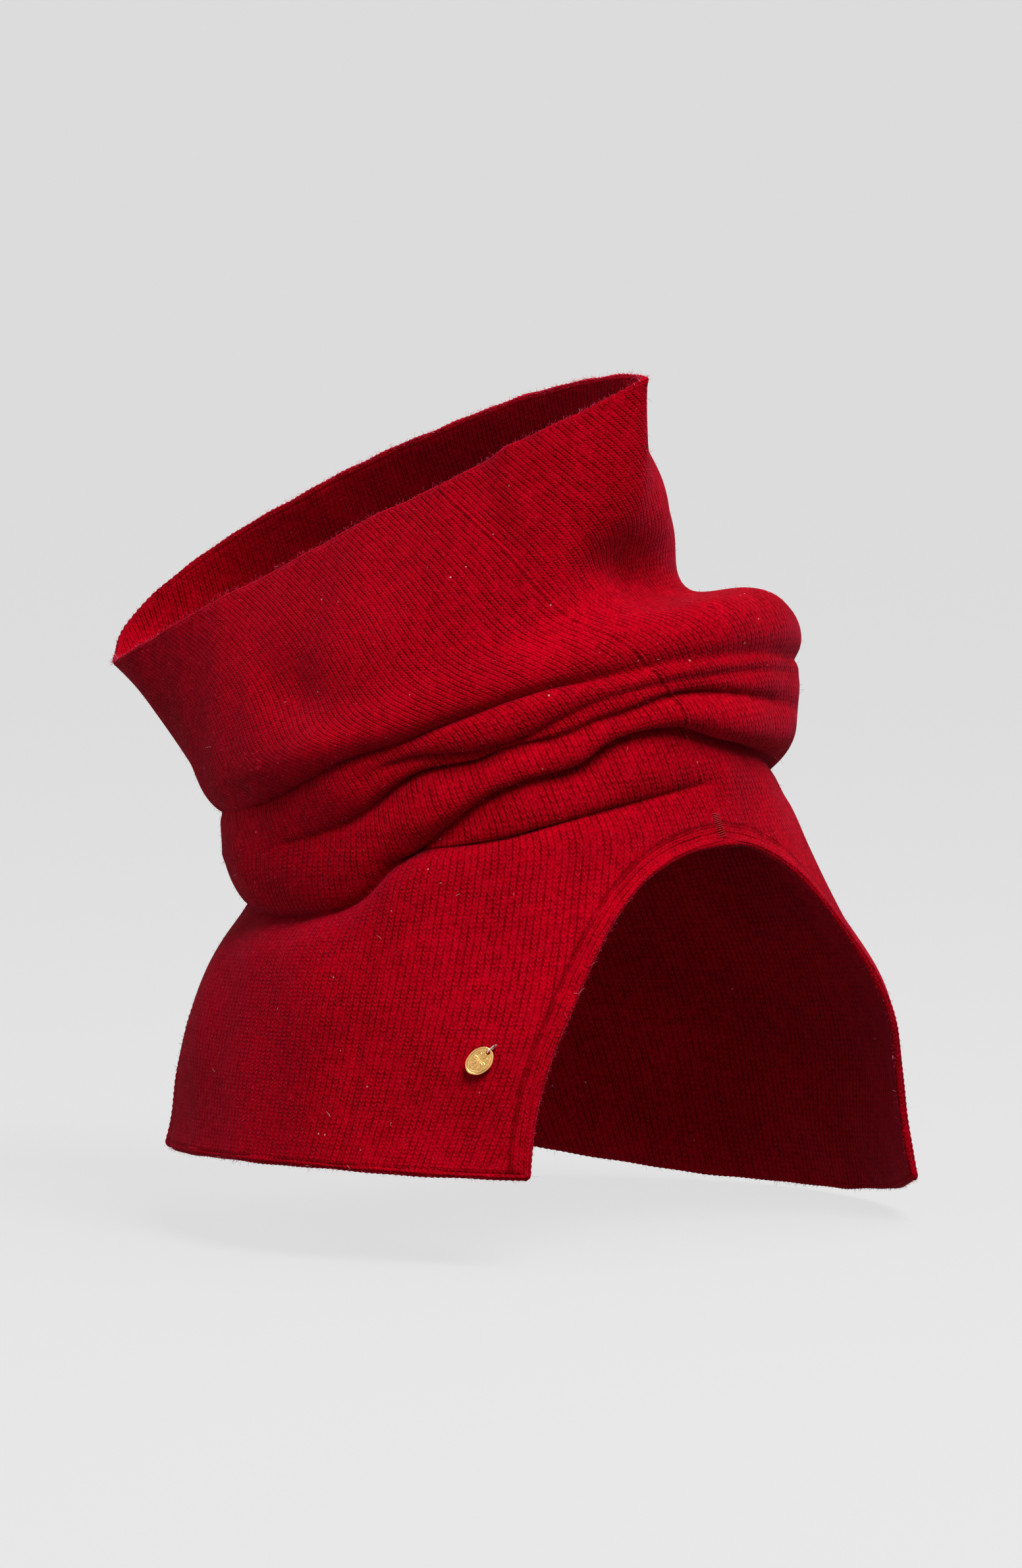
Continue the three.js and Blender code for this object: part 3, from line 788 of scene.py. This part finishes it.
def bib_places(half):
    """Cloth widths and levels of a bib, with its rows bent to end square on the slits."""
    half_width = settings().half_width
    share = np.linspace(0, 1, SLIT_ROWS + 1)
    side_level = np.concatenate([SLIT_TOP * np.sin(share * math.pi / 2),
                                 np.linspace(SLIT_TOP, PARTING, TOP_ROWS + 1)[1:]])
    opening = np.concatenate([SLIT_ANGLE[half] * np.cos(share * math.pi / 2).clip(0) ** ARCH_POWER,
                              np.zeros(TOP_ROWS)])
    side_width = half_width * (90 - opening) / 90 / spread(side_level)
    middle_level = np.linspace(0, PARTING, len(side_level))
    q = np.linspace(-1, 1, column_count(half_width))
    mix = (1 - np.abs(q) ** 2.5)[None]
    level = side_level[:, None] + (middle_level - side_level)[:, None] * mix
    width = side_width[:, None] * q[None]
    return width, level


def slit_band(face):
    """Distance to the nearer slit edge and length along it, for rows and columns of a bib."""
    flat = face.reshape(-1, 3)
    best = np.full(len(flat), 1e9)
    along = np.zeros(len(flat))
    for side in (0, -1):
        line = face[:SLIT_ROWS + 1, side]
        distance, index = nearest(flat, line)
        closer = distance < best
        best[closer], along[closer] = distance[closer], run_length(line)[index][closer]
    return np.stack([best, along], axis=-1).reshape(*face.shape[:2], 2)


def cloth_layer(width, level, lengths):
    return np.stack([width, np.interp(level, *lengths)], axis=-1)


def split_at(bm, face, outward, thickness, *borders):
    """Keeps the shading apart where one piece of the cloth carries on into the next."""
    inner = face - outward * thickness
    wanted = set()
    for rows, columns in borders:
        for layer in (face, inner):
            for points in [layer[k] for k in rows] + [layer[:, k] for k in columns]:
                wanted |= {tuple(np.round(point * MM, 6)) for point in points}
    for edge in bm.edges:
        if all(tuple(np.round(vert.co, 6)) in wanted for vert in edge.verts):
            edge.smooth = False


class GAITER_OT_collar_cloth(bpy.types.Operator):
    """Make the collar and the gathered neck, front and back"""

    bl_idname = "gaiter.collar_cloth"
    bl_label = "Collar Cloth"

    def execute(self, context):
        s = settings()
        lengths = mean_lengths()
        width, level = collar_places()
        for half in HALVES:
            face, outward = patch(half, width, level, 3)
            bm = shell(face, outward, s.thickness, (0.0, 0.5, 0.0),
                       {"cloth": cloth_layer(width, level, lengths)})
            split_at(bm, face, outward, s.thickness, ([0], []), ([], [0, -1]))
            cloth = finish_mesh(bm, "collar_cloth_" + half, knit_material("red_wool_collar_" + half))
            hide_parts("neck_" + half, "collar_" + half)
            follows_collar(cloth)
        return {"FINISHED"}


class GAITER_OT_bib_cloth(bpy.types.Operator):
    """Make the front and back bibs, cut away at their slits"""

    bl_idname = "gaiter.bib_cloth"
    bl_label = "Bib Cloth"

    def execute(self, context):
        s = settings()
        lengths = mean_lengths()
        for half in HALVES:
            width, level = bib_places(half)
            face, outward = patch(half, width, level, 3)
            bm = shell(face, outward, s.thickness, (0.4, 0.0, 0.4),
                       {"cloth": cloth_layer(width, level, lengths), "band": slit_band(face)})
            split_at(bm, face, outward, s.thickness, ([-1], []), ([], []))
            cloth = finish_mesh(bm, "bib_cloth_" + half, knit_material("red_wool_bib_" + half, banded=True))
            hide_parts("bib_" + half)
            follows_bib(cloth)
        return {"FINISHED"}


ROPE_STEP = 0.75  # length of one mesh row of an edge, in millimetres


class GAITER_OT_borders(bpy.types.Operator):
    """Make the rolled borders round each bib"""

    bl_idname = "gaiter.borders"
    bl_label = "Bib Borders"

    def execute(self, context):
        s = settings()
        material = knit_material("red_wool_border", on_rope=True)
        for half in HALVES:
            width, level = bib_places(half)
            face, outward = patch(half, width, level)
            middle = face - outward * s.thickness / 2
            path, side = (np.concatenate([grid[SLIT_ROWS:0:-1, 0], grid[0], grid[1:SLIT_ROWS + 1, -1]])
                          for grid in (middle, outward))
            border = finish_mesh(rope(path, side, ROPE_STEP, 10, self.radius), "border_" + half, material)
            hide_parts("hem_edge_" + half, f"slit_edge_{half}_left", f"slit_edge_{half}_right")
            follows_bib(border)
        return {"FINISHED"}

    def radius(self, along, turn):
        swell = 1 + 0.1 * np.sin(along / 9.0) + 0.06 * np.sin(along / 3.7 + 1)
        return 1.5 * swell * (1 + 0.09 * np.cos(2 * math.pi * along / 2.2 + 2 * turn))


class GAITER_OT_rim_edge(bpy.types.Operator):
    """Make the cast-off edge round the rim of the collar"""

    bl_idname = "gaiter.rim_edge"
    bl_label = "Rim Edge"

    def execute(self, context):
        s = settings()
        material = knit_material("red_wool_rim", on_rope=True)
        path, sides = [], []
        width, level = collar_places()
        for half in HALVES:
            face, outward = patch(half, width[-3:], level[-3:])
            path.append(face[-1] - outward[-1] * s.thickness / 2)
            sides.append(outward[-1])
        if np.linalg.norm(path[0][-1] - path[1][0]) > np.linalg.norm(path[0][-1] - path[1][-1]):
            path[1], sides[1] = path[1][::-1], sides[1][::-1]
        whole = rope(np.concatenate(path), np.concatenate(sides), ROPE_STEP, 10, self.radius, ring=True)
        rim = finish_mesh(whole, "rim_edge", material)
        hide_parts("rim_edge_front", "rim_edge_back")
        follows_collar(rim)
        return {"FINISHED"}

    def radius(self, along, turn):
        girth = float(along[-1, 0])
        wave = np.cos(2 * math.pi * round(girth / 2.6) * along / (girth + ROPE_STEP) + 2 * turn)
        swell = 1 + 0.08 * np.sin(along * 2 * math.pi * 31 / girth)
        return 1.45 * swell * (1 + 0.13 * wave)


# ---------------- seams and trims

def thread_material(name, tint, deep, pitch=0.5):
    """Thread: fine twisted plies with a little fluff, painted darker in the grooves between the plies as
    painted shade.
    """
    material, tree, main = new_shader(name)
    across, along = surface_place(tree, "places")
    twist = formula(tree, "ADD", formula(tree, "MULTIPLY", across, 0.7), along)
    ply = formula(tree, "SINE", formula(tree, "MULTIPLY", twist, 2 * math.pi / (pitch * MM)))
    ply = formula(tree, "MULTIPLY_ADD", ply, 0.5, 0.5)
    fluff = bump(tree, noise(tree, object_place(tree), 4000.0), 0.03 * MM, 0.6)
    dress(tree, main, {
        # Painted shade: the colour turns to the deep tint where the plies sink, in place of the shade in their
        # grooves.
        "Base Color": blended(tree, ply, deep, tint),
        "Roughness": 0.7,
        "Specular IOR Level": 0.2,
        "Normal": bump(tree, ply, 0.08 * MM, 0.8, fluff),
    })
    return material


def wire(path, side, radius, sides, ring=False):
    """An even thread along a path, with one reference direction."""
    return swept(path, np.tile(side, (len(path), 1)), np.full((len(path), sides + 1), radius), ring)


def joined(parts):
    """One bmesh of many, each given back to memory."""
    whole = bmesh.new()
    for part in parts:
        spare = bpy.data.meshes.new("spare")
        part.to_mesh(spare)
        part.free()
        whole.from_mesh(spare)
        bpy.data.meshes.remove(spare)
    return whole


def seam_line(level, outset):
    """Points and directions along the wearer's left and right side seams."""
    found = {}
    reach = settings().half_width
    for side, way in (("left", 1.0), ("right", -1.0)):
        grid_width, grid_level = np.meshgrid(way * np.array((reach - 1, reach, reach + 1)), level)
        face, outward = patch("front", grid_width, grid_level)
        found[side] = face[:, 1] + outward[:, 1] * outset, outward[:, 1], face[:, 2] - face[:, 0]
    return found


class GAITER_OT_side_seams(bpy.types.Operator):
    """Make the linked side seams, from the tops of the slits to the rim"""

    bl_idname = "gaiter.side_seams"
    bl_label = "Side Seams"

    def execute(self, context):
        material = knit_material("red_wool_seam", on_rope=True)
        level = np.linspace(BIB_TOP, RIM - 0.02, 420)
        for side, (line, outward, _) in seam_line(level, -0.45).items():
            seam = finish_mesh(rope(line, outward, 0.6, 8, self.radius), "side_seam_" + side, material)
            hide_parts("neck_seam_" + side, "collar_seam_" + side)
            follows_collar(seam)
        return {"FINISHED"}

    def radius(self, along, turn):
        return 0.5 + 0.28 * np.abs(np.sin(math.pi * along / 1.7 + turn))


class GAITER_OT_bar_tacks(bpy.types.Operator):
    """Make the close zigzag of thread that ends each side seam"""

    bl_idname = "gaiter.bar_tacks"
    bl_label = "Bar Tacks"

    def execute(self, context):
        material = thread_material("red_thread", (0.5, 0.0, 0.012, 1.0), (0.28, 0.0, 0.006, 1.0))
        share = np.linspace(-1, 1, 9)[:, None]
        level = np.linspace(SLIT_TOP + 0.03, SLIT_TOP + 0.26, 13)
        for side, (line, outward, across) in seam_line(level, 0.1).items():
            bars = []
            for k, (spot, out, aside) in enumerate(zip(line, outward, unit(across))):
                lean = (line[min(k + 1, len(line) - 1)] - line[max(k - 1, 0)]) * 0.2
                path = spot + aside * share * 1.9 + lean * share + out * (0.42 - 0.75 * share**4)
                bars.append(wire(path, out, 0.21, 6))
            tack = finish_mesh(joined(bars), "bar_tack_" + side + "_thread", material)
            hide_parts("bar_tack_" + side)
            follows_collar(tack)
        return {"FINISHED"}


class GAITER_OT_care_label(bpy.types.Operator):
    """Make the blank woven label sewn inside the neck"""

    bl_idname = "gaiter.care_label"
    bl_label = "Care Label"

    def execute(self, context):
        s = settings()
        width, level = np.meshgrid(np.linspace(-138, -112, 27), np.linspace(2.02, 2.62, 25))
        face, outward = patch("back", width, level)
        hang = np.linspace(1.6, 0, 25)[:, None, None]
        face = face - outward * (s.thickness + 0.35 + hang)
        layers = {"places": np.stack([width, level * 30], axis=-1)}
        material, tree, main = new_shader("woven_label")
        warp, weft = (formula(tree, "SINE", formula(tree, "MULTIPLY", place, 2 * math.pi / (pitch * MM)))
                      for place, pitch in zip(surface_place(tree, "places"), (0.5, 0.4)))
        weave = formula(tree, "MULTIPLY_ADD", formula(tree, "MULTIPLY", warp, weft), 0.5, 0.5)
        dress(tree, main, {
            # Painted shade: the label is painted greyer where its weave sinks, in place of the shade between
            # its threads.
            "Base Color": blended(tree, weave, (0.55, 0.53, 0.5, 1.0), (0.8, 0.78, 0.75, 1.0)),
            "Roughness": 0.6,
            "Normal": bump(tree, weave, 0.08 * MM, 0.8),
        })
        label = finish_mesh(shell(face, outward, 0.5, (0.2, 0.2, 0.2), layers), "woven_label", material)
        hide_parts("care_label")
        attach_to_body(label, "neck_band")
        return {"FINISHED"}


# ---------------- loose fibres

FIBRE_LENGTH, FIBRE_RADIUS = 1.7, 0.045
PALE_FROM = 0.991  # fibres of a kind above this, from 0 to 1, are pale, long and thick


def fibre_material():
    """Fine red fibres, painted lighter pink towards their tips as a painted sheen, with a pale one here and
    there.
    """
    s = settings()
    material, tree, main = new_shader("loose_fibres")
    kind, along = (formula(tree, "MULTIPLY", place, 1 / MM) for place in surface_place(tree, "places"))
    # Painted sheen: each fibre turns from the cloth's red at its root to a lighter pink at its tip, in place of
    # the light its tip catches.
    tip = blended(tree, along, tuple(s.red), (0.8, 0.06, 0.16, 1.0))
    dress(tree, main, {
        "Base Color": blended(tree, ramp(tree, kind, PALE_FROM, 0.992), tip, (0.8, 0.42, 0.45, 1.0)),
        "Roughness": 0.9,
        "Specular IOR Level": 0.05,
        "Sheen Weight": 0.3,
        "Sheen Tint": (1.0, 0.2, 0.3, 1.0),
    })
    return material


def fibres(roots, outward, seed):
    """Many short curled fibres that stand on a surface, as one bmesh."""
    rng = np.random.default_rng(seed)
    count, rows = len(roots), 5
    aside = unit(rng.normal(size=(count, 3)))
    lean = unit(outward * 0.6 + aside)
    lean = unit(lean + outward * np.clip(-(lean * outward).sum(1), 0, None)[:, None] * 1.6)
    curl = unit(np.cross(lean, rng.normal(size=(count, 3))))
    kind = rng.random(count)
    long = FIBRE_LENGTH * (0.4 + 0.9 * rng.random(count)) * np.where(kind > PALE_FROM, 1.7, 1.0)
    thick = FIBRE_RADIUS * np.where(kind > PALE_FROM, 1.4, 1.0)
    share = np.linspace(0, 1, rows)
    reach = share[None] * long[:, None]
    spine = (roots[:, None] - outward[:, None] * 0.15 + lean[:, None] * reach[..., None]
             + curl[:, None] * (share[None] * reach * 0.45)[..., None])
    second = unit(np.cross(lean, curl))
    turn = np.linspace(0, 2 * math.pi, 4)
    spoke = curl[:, None] * np.cos(turn)[None, :, None] + second[:, None] * np.sin(turn)[None, :, None]
    taper = np.array((0.0, 1.0, 0.9, 0.65, 0.0))
    points = spine[:, :, None] + spoke[:, None] * (taper[None] * thick[:, None])[..., None, None]
    places = np.stack(np.broadcast_arrays(
        kind[:, None, None], share[None, :, None], turn[None, None])[:2], axis=-1)
    bm = laid_grid(points.reshape(count * rows, 4, 3), {"places": places.reshape(count * rows, 4, 2)})
    bm.faces.ensure_lookup_table()
    links = [bm.faces[r * 3 + c] for r in range(rows - 1, count * rows - 1, rows) for c in range(3)]
    bmesh.ops.delete(bm, geom=links, context="FACES")
    return closed(bm)


class GAITER_OT_fuzz(bpy.types.Operator):
    """Make the loose fibres on the cloth, its rim and its borders"""

    bl_idname = "gaiter.fuzz"
    bl_label = "Loose Fibres"

    def execute(self, context):
        material = fibre_material()
        rng = np.random.default_rng(7)
        reach = settings().half_width
        upper = []
        for k, half in enumerate(HALVES):
            on_face, on_rim = 1500, 1100
            width = rng.uniform(-reach, reach, on_face + on_rim)
            level = rng.uniform(PARTING + 0.1, RIM, on_face + on_rim)
            level[on_face:] = RIM
            points, outward, up = cloth_face(half, width, level)
            upper.append(self.turned(rng, points, outward, up, level >= RIM, -0.5, 1.1))

            on_face, on_slits, on_hem = 1300, 900, 500
            level = np.concatenate([rng.uniform(0.02, PARTING - 0.1, on_face),
                                    SLIT_TOP * rng.uniform(0, 1, on_slits) ** 0.7, np.zeros(on_hem)])
            side = rng.uniform(-1, 1, len(level))
            slits = slice(on_face, on_face + on_slits)
            side[slits] = np.sign(side[slits])
            points, outward, up = cloth_face(half, side * slit_width(half, level, reach), level)
            flat = unit(np.cross(up, outward)) * np.sign(side)[:, None]
            flat *= np.sign((flat[slits] * (points[slits] - points[:on_face].mean(0))).sum(1).mean())
            order = np.arange(len(level))
            edge = np.where((order >= slits.stop)[:, None], -up, flat)
            places = self.turned(rng, points, outward, edge, order >= on_face, -0.4, 1.2)
            fuzz = finish_mesh(fibres(*places, 20 + k), f"bib_{half}_fuzz", material)
            follows_bib(fuzz)
        fuzz = finish_mesh(fibres(*map(np.concatenate, zip(*upper)), 11), "collar_fuzz", material)
        follows_collar(fuzz)
        return {"FINISHED"}

    def turned(self, rng, points, outward, edge, on_edge, least, past):
        """Roots and directions of the fibres: those on an edge stand off it, through its thickness."""
        chosen = on_edge[:, None]
        depth = rng.uniform(least, 3.0, len(points))[:, None]
        stray = rng.uniform(-1, 1, len(points))[:, None]
        return (np.where(chosen, points - outward * depth + edge * past, points),
                np.where(chosen, unit(edge + outward * stray), outward))


# ---------------- charm

CHARM_RIGHT = np.array((0.6631, 0.3154, -0.6788))
CHARM_UP = np.array((0.4478, 0.5595, 0.6974))
CHARM_OUT = np.array((0.5998, -0.7665, 0.2297))
CHARM_FRAME = np.array((CHARM_RIGHT, CHARM_UP, CHARM_OUT))
HOLE_UP = 4.05  # from the middle of the coin to its hole, in millimetres
HOLE_RADIUS = 0.8


def centre_of(node):
    low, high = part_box(node)
    return (np.array(low) + np.array(high)) / 2 / MM


class GAITER_OT_coin(bpy.types.Operator):
    """Make the struck coin: a raised rim, petals, beads and a punched hole"""

    bl_idname = "gaiter.coin"
    bl_label = "Coin Charm"

    def execute(self, context):
        charm = context.scene.gaiter_charm
        long, wide, thick = 5.6, 4.2, 0.4
        turn = np.linspace(0, 2 * math.pi, 145)
        front = np.linspace(0.0, 0.97, 46)
        bevel = np.radians(np.linspace(60, -60, 7))
        share = np.concatenate([front, 0.97 + 0.03 * np.cos(bevel), front[::-1]])
        side = np.repeat((1.0, 0.0, -1.0), (len(front), len(bevel), len(front)))
        base = thick * side
        base[side == 0] = thick * np.sin(bevel)
        wobble = 1 + 0.012 * np.sin(3 * turn + 1) + 0.008 * np.sin(7 * turn)
        r = share[:, None] * wobble[None]
        rise = self.relief(*np.broadcast_arrays(share[:, None], turn[None]), charm)
        height = base[:, None] + side[:, None] * rise
        points = (centre_of("coin_charm") + (r * np.cos(turn)[None] * wide)[..., None] * CHARM_RIGHT
                  + (r * np.sin(turn)[None] * long)[..., None] * CHARM_UP + height[..., None] * CHARM_OUT)
        coin = finish_mesh(closed(laid_grid(points, {})), "coin", self.metal(charm))
        self.punch(coin)
        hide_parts("coin_charm")
        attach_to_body(coin, "charm")
        return {"FINISHED"}

    def relief(self, share, turn, charm):
        """Height of the struck pattern over the field of the coin."""
        rim = np.clip((share - 0.84) / 0.05, 0, 1)
        beads = 0.5 * (1 + np.cos(44 * turn)) * np.exp(-(((share - 0.76) / 0.035) ** 2))
        petals = np.abs(np.cos(charm.rays / 2 * turn)) ** 0.7
        bloom = np.clip((0.2 + 0.42 * petals - share) / 0.06, 0, 1) * np.clip(share / 0.18, 0.3, 1)
        vein = 0.35 * np.exp(-((np.sin(charm.rays / 2 * turn) / 0.12) ** 2)) * (share > 0.2) * (share < 0.6)
        button = np.exp(-((share / 0.12) ** 4))
        worn = 0.2 * np.sin(9 * turn + 14 * share) * np.sin(23 * share + 2 * np.cos(3 * turn))
        raised = np.maximum.reduce([rim * 1.15, beads * 0.8, bloom * 0.8 - vein, button])
        return charm.relief * (raised + worn * (share < 0.84))

    def punch(self, coin):
        """Cuts the ring's hole through the coin."""
        middle = centre_of("coin_charm") + CHARM_UP * HOLE_UP
        bm = bmesh.new()
        bmesh.ops.create_cone(bm, cap_ends=True, segments=32, radius1=HOLE_RADIUS * MM,
                              radius2=HOLE_RADIUS * MM, depth=3 * MM)
        axis = Vector(CHARM_OUT).to_track_quat("Z", "Y").to_matrix().to_4x4()
        bmesh.ops.transform(bm, matrix=Matrix.Translation(Vector(middle) * MM) @ axis, verts=bm.verts)
        drill = finish_mesh(bm, "drill", coin.data.materials[0])
        cut = coin.modifiers.new("hole", "BOOLEAN")
        cut.object = drill
        cut.operation = "DIFFERENCE"
        cut.solver = "EXACT"
        graph = bpy.context.evaluated_depsgraph_get()
        cut_mesh = bpy.data.meshes.new_from_object(coin.evaluated_get(graph))
        coin.modifiers.clear()
        coin.data = cut_mesh
        bpy.data.objects.remove(drill, do_unlink=True)

    def metal(self, charm):
        material, tree, main = new_shader("worn_gold")
        here = object_place(tree)
        patches = noise(tree, here, 900.0, 3.0, 0.6)
        geometry = tree.nodes.new("ShaderNodeNewGeometry")
        hollow = ramp(tree, geometry.outputs["Pointiness"], 0.44, 0.53)
        gold = blended(tree, hollow, (0.28, 0.13, 0.04, 1.0), tuple(charm.gold))
        gold = blended(tree, ramp(tree, patches, 0.35, 0.7, 0.0, 0.35), gold, (0.6, 0.3, 0.1, 1.0))
        dress(tree, main, {
            "Base Color": gold,
            "Metallic": 1.0,
            "Roughness": ramp(tree, patches, 0.3, 0.7, 0.2, 0.42),
            "Normal": bump(tree, noise(tree, here, 3500.0, 3.0, 0.7), 0.05 * MM, 0.8),
        })
        return material


class GAITER_OT_hanger(bpy.types.Operator):
    """Make the thread that holds the jump ring, its knot, and the ring's silver finish"""

    bl_idname = "gaiter.hanger"
    bl_label = "Thread and Ring"

    def execute(self, context):
        pale = thread_material("pale_thread", (0.75, 0.6, 0.58, 1.0), (0.4, 0.25, 0.24, 1.0), 0.35)
        turn = np.linspace(0, 2 * math.pi, 49)[:-1]
        plies = []
        for phase in (0, math.pi):
            curl = 9 * turn + phase
            radius = 1.1 + 0.11 * np.cos(curl)
            path = centre_of("thread_loop") + np.stack([
                0.11 * np.sin(curl), np.cos(turn) * radius, np.sin(turn) * radius], axis=1) @ CHARM_FRAME
            plies.append(wire(path, CHARM_RIGHT, 0.14, 8, ring=True))
        loop = finish_mesh(joined(plies), "thread_loop_plies", pale)
        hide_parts("thread_loop")
        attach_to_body(loop, "front_bib")

        share = np.linspace(0, 1, 61)
        wind = 2 * math.pi * 3 * share
        girth = 0.45 * np.sin(math.pi * share) + 0.1
        path = centre_of("thread_knot") + np.stack([np.cos(wind) * girth, np.sin(wind) * girth,
                                                    0.9 * (share - 0.5)], axis=1) @ CHARM_FRAME
        red = thread_material("knot_thread", (0.4, 0.0, 0.01, 1.0), (0.15, 0, 0, 1.0))
        knot = finish_mesh(wire(path, CHARM_OUT, 0.26, 8), "thread_knot_turns", red)
        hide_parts("thread_knot")
        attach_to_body(knot, "front_bib")

        silver, tree, main = new_shader("ring_silver")
        rub = noise(tree, object_place(tree), 2600.0, 3.0)
        dress(tree, main, {
            "Base Color": (0.82, 0.74, 0.68, 1.0),
            "Metallic": 1.0,
            "Roughness": ramp(tree, rub, 0.3, 0.7, 0.15, 0.35),
            "Normal": bump(tree, rub, 0.02 * MM, 0.5),
        })
        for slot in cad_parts["jump_ring"].material_slots:
            slot.material = silver
        return {"FINISHED"}


# ---------------- stage

FLOOR_REACH = 60.0  # metres to the floor's edge, and up its wall
FLOOR_GAP = 0.0105  # metres from the floor up to the CAD's lowest point


def direction(turn, rise):
    """From the garment toward a turn from its front and a height, both in radians."""
    return Vector((math.sin(turn) * math.cos(rise), -math.cos(turn) * math.cos(rise), math.sin(rise)))


def placed(name, data, toward, far):
    """Adds a camera or lamp that looks back at the garment."""
    made = bpy.data.objects.new(name, data)
    made.location = toward * far
    made.rotation_euler = (-toward).to_track_quat("-Z", "Y").to_euler()
    bpy.context.scene.collection.objects.link(made)
    return made


class GAITER_OT_stage(bpy.types.Operator):
    """Set up the camera, the pale floor and the studio light"""

    bl_idname = "gaiter.stage"
    bl_label = "Stage"

    def execute(self, context):
        stage = context.scene.gaiter_stage
        scene = context.scene
        turn = math.radians(stage.azimuth)
        camera_data = bpy.data.cameras.new("camera")
        camera_data.sensor_fit = "HORIZONTAL"
        camera_data.sensor_width = 24.0
        camera_data.lens = camera_data.sensor_width * stage.distance / stage.view_width
        camera_data.clip_end = 200
        toward = direction(turn, math.radians(stage.elevation))
        scene.camera = placed("camera", camera_data, toward, stage.distance)

        self.floor()
        self.lamp("key", turn + math.radians(28), 52, 1.2, 2.0, 47.0, (1.0, 0.98, 0.96))
        self.lamp("fill", turn - math.radians(50), 18, 1.8, 2.4, 9.0, (0.97, 0.98, 1.0))
        self.lamp("top", turn + math.radians(120), 70, 1.4, 2.0, 14.0, (1.0, 1.0, 1.0))
        world = bpy.data.worlds.new("studio")
        world.use_nodes = True
        sky = world.node_tree.nodes["Background"]
        sky.inputs[0].default_value = (0.95, 0.97, 1.0, 1.0)
        sky.inputs[1].default_value = 0.2
        scene.world = world
        scene.view_settings.view_transform = "Standard"
        return {"FINISHED"}

    def floor(self):
        """A pale, evenly lit floor that runs far back and turns up at its edge."""
        material, tree, main = new_shader("pale_floor")
        dress(tree, main, {
            "Base Color": (0.07, 0.07, 0.07, 1.0),
            "Roughness": 0.95,
            "Specular IOR Level": 0.0,
            "Emission Color": (1.0, 1.0, 1.0, 1.0),
            "Emission Strength": 0.7,
            "Normal": bump(tree, noise(tree, object_place(tree), 3.0), 0.0004, 0.1),
        })
        bm = bmesh.new()
        bmesh.ops.create_circle(bm, cap_ends=True, radius=FLOOR_REACH, segments=96)
        rim = [edge for edge in bm.edges if edge.is_boundary]
        walls = bmesh.ops.extrude_edge_only(bm, edges=rim)["geom"]
        raised = [part for part in walls if isinstance(part, bmesh.types.BMVert)]
        bmesh.ops.translate(bm, vec=(0, 0, FLOOR_REACH), verts=raised)
        bmesh.ops.translate(bm, vec=(0, 0, CAD_BOX[0][2] - FLOOR_GAP), verts=bm.verts)
        floor = finish_mesh(bm, "floor", material, smooth=False)
        floor.visible_diffuse = False

    def lamp(self, name, turn, rise, wide, far, power, tint):
        """A round soft lamp: sizes in metres, rise in degrees, power in watts."""
        data = bpy.data.lights.new(name, "AREA")
        data.shape = "DISK"
        data.size = wide
        data.energy = power
        data.color = tint
        placed(name, data, direction(turn, math.radians(rise)), far)


class GAITER_PT_panel(bpy.types.Panel):
    """Lists the garment's pieces"""

    bl_idname = "GAITER_PT_panel"
    bl_label = "Knitted Neck Gaiter"
    bl_space_type = "VIEW_3D"
    bl_region_type = "UI"
    bl_category = "Gaiter"

    def draw(self, context):
        for group in (context.scene.gaiter_knit, context.scene.gaiter_charm, context.scene.gaiter_stage):
            box = self.layout.box()
            for name in group.__annotations__:
                box.prop(group, name)
        for maker in MAKERS:
            self.layout.operator(maker.bl_idname)


MAKERS = [
    GAITER_OT_stage,
    GAITER_OT_collar_cloth,
    GAITER_OT_bib_cloth,
    GAITER_OT_borders,
    GAITER_OT_rim_edge,
    GAITER_OT_side_seams,
    GAITER_OT_bar_tacks,
    GAITER_OT_care_label,
    GAITER_OT_fuzz,
    GAITER_OT_coin,
    GAITER_OT_hanger,
]
CLASSES = [KnitSettings, CharmSettings, StageSettings, *MAKERS, GAITER_PT_panel]


def register():
    for made in CLASSES:
        bpy.utils.register_class(made)
    bpy.types.Scene.gaiter_knit = PointerProperty(type=KnitSettings)
    bpy.types.Scene.gaiter_charm = PointerProperty(type=CharmSettings)
    bpy.types.Scene.gaiter_stage = PointerProperty(type=StageSettings)


def unregister():
    del bpy.types.Scene.gaiter_stage
    del bpy.types.Scene.gaiter_charm
    del bpy.types.Scene.gaiter_knit
    for made in reversed(CLASSES):
        bpy.utils.unregister_class(made)


def main():
    register()
    for maker in MAKERS:
        area, name = maker.bl_idname.split(".")
        getattr(getattr(bpy.ops, area), name)()
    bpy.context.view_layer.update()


if __name__ == "__main__":
    main()
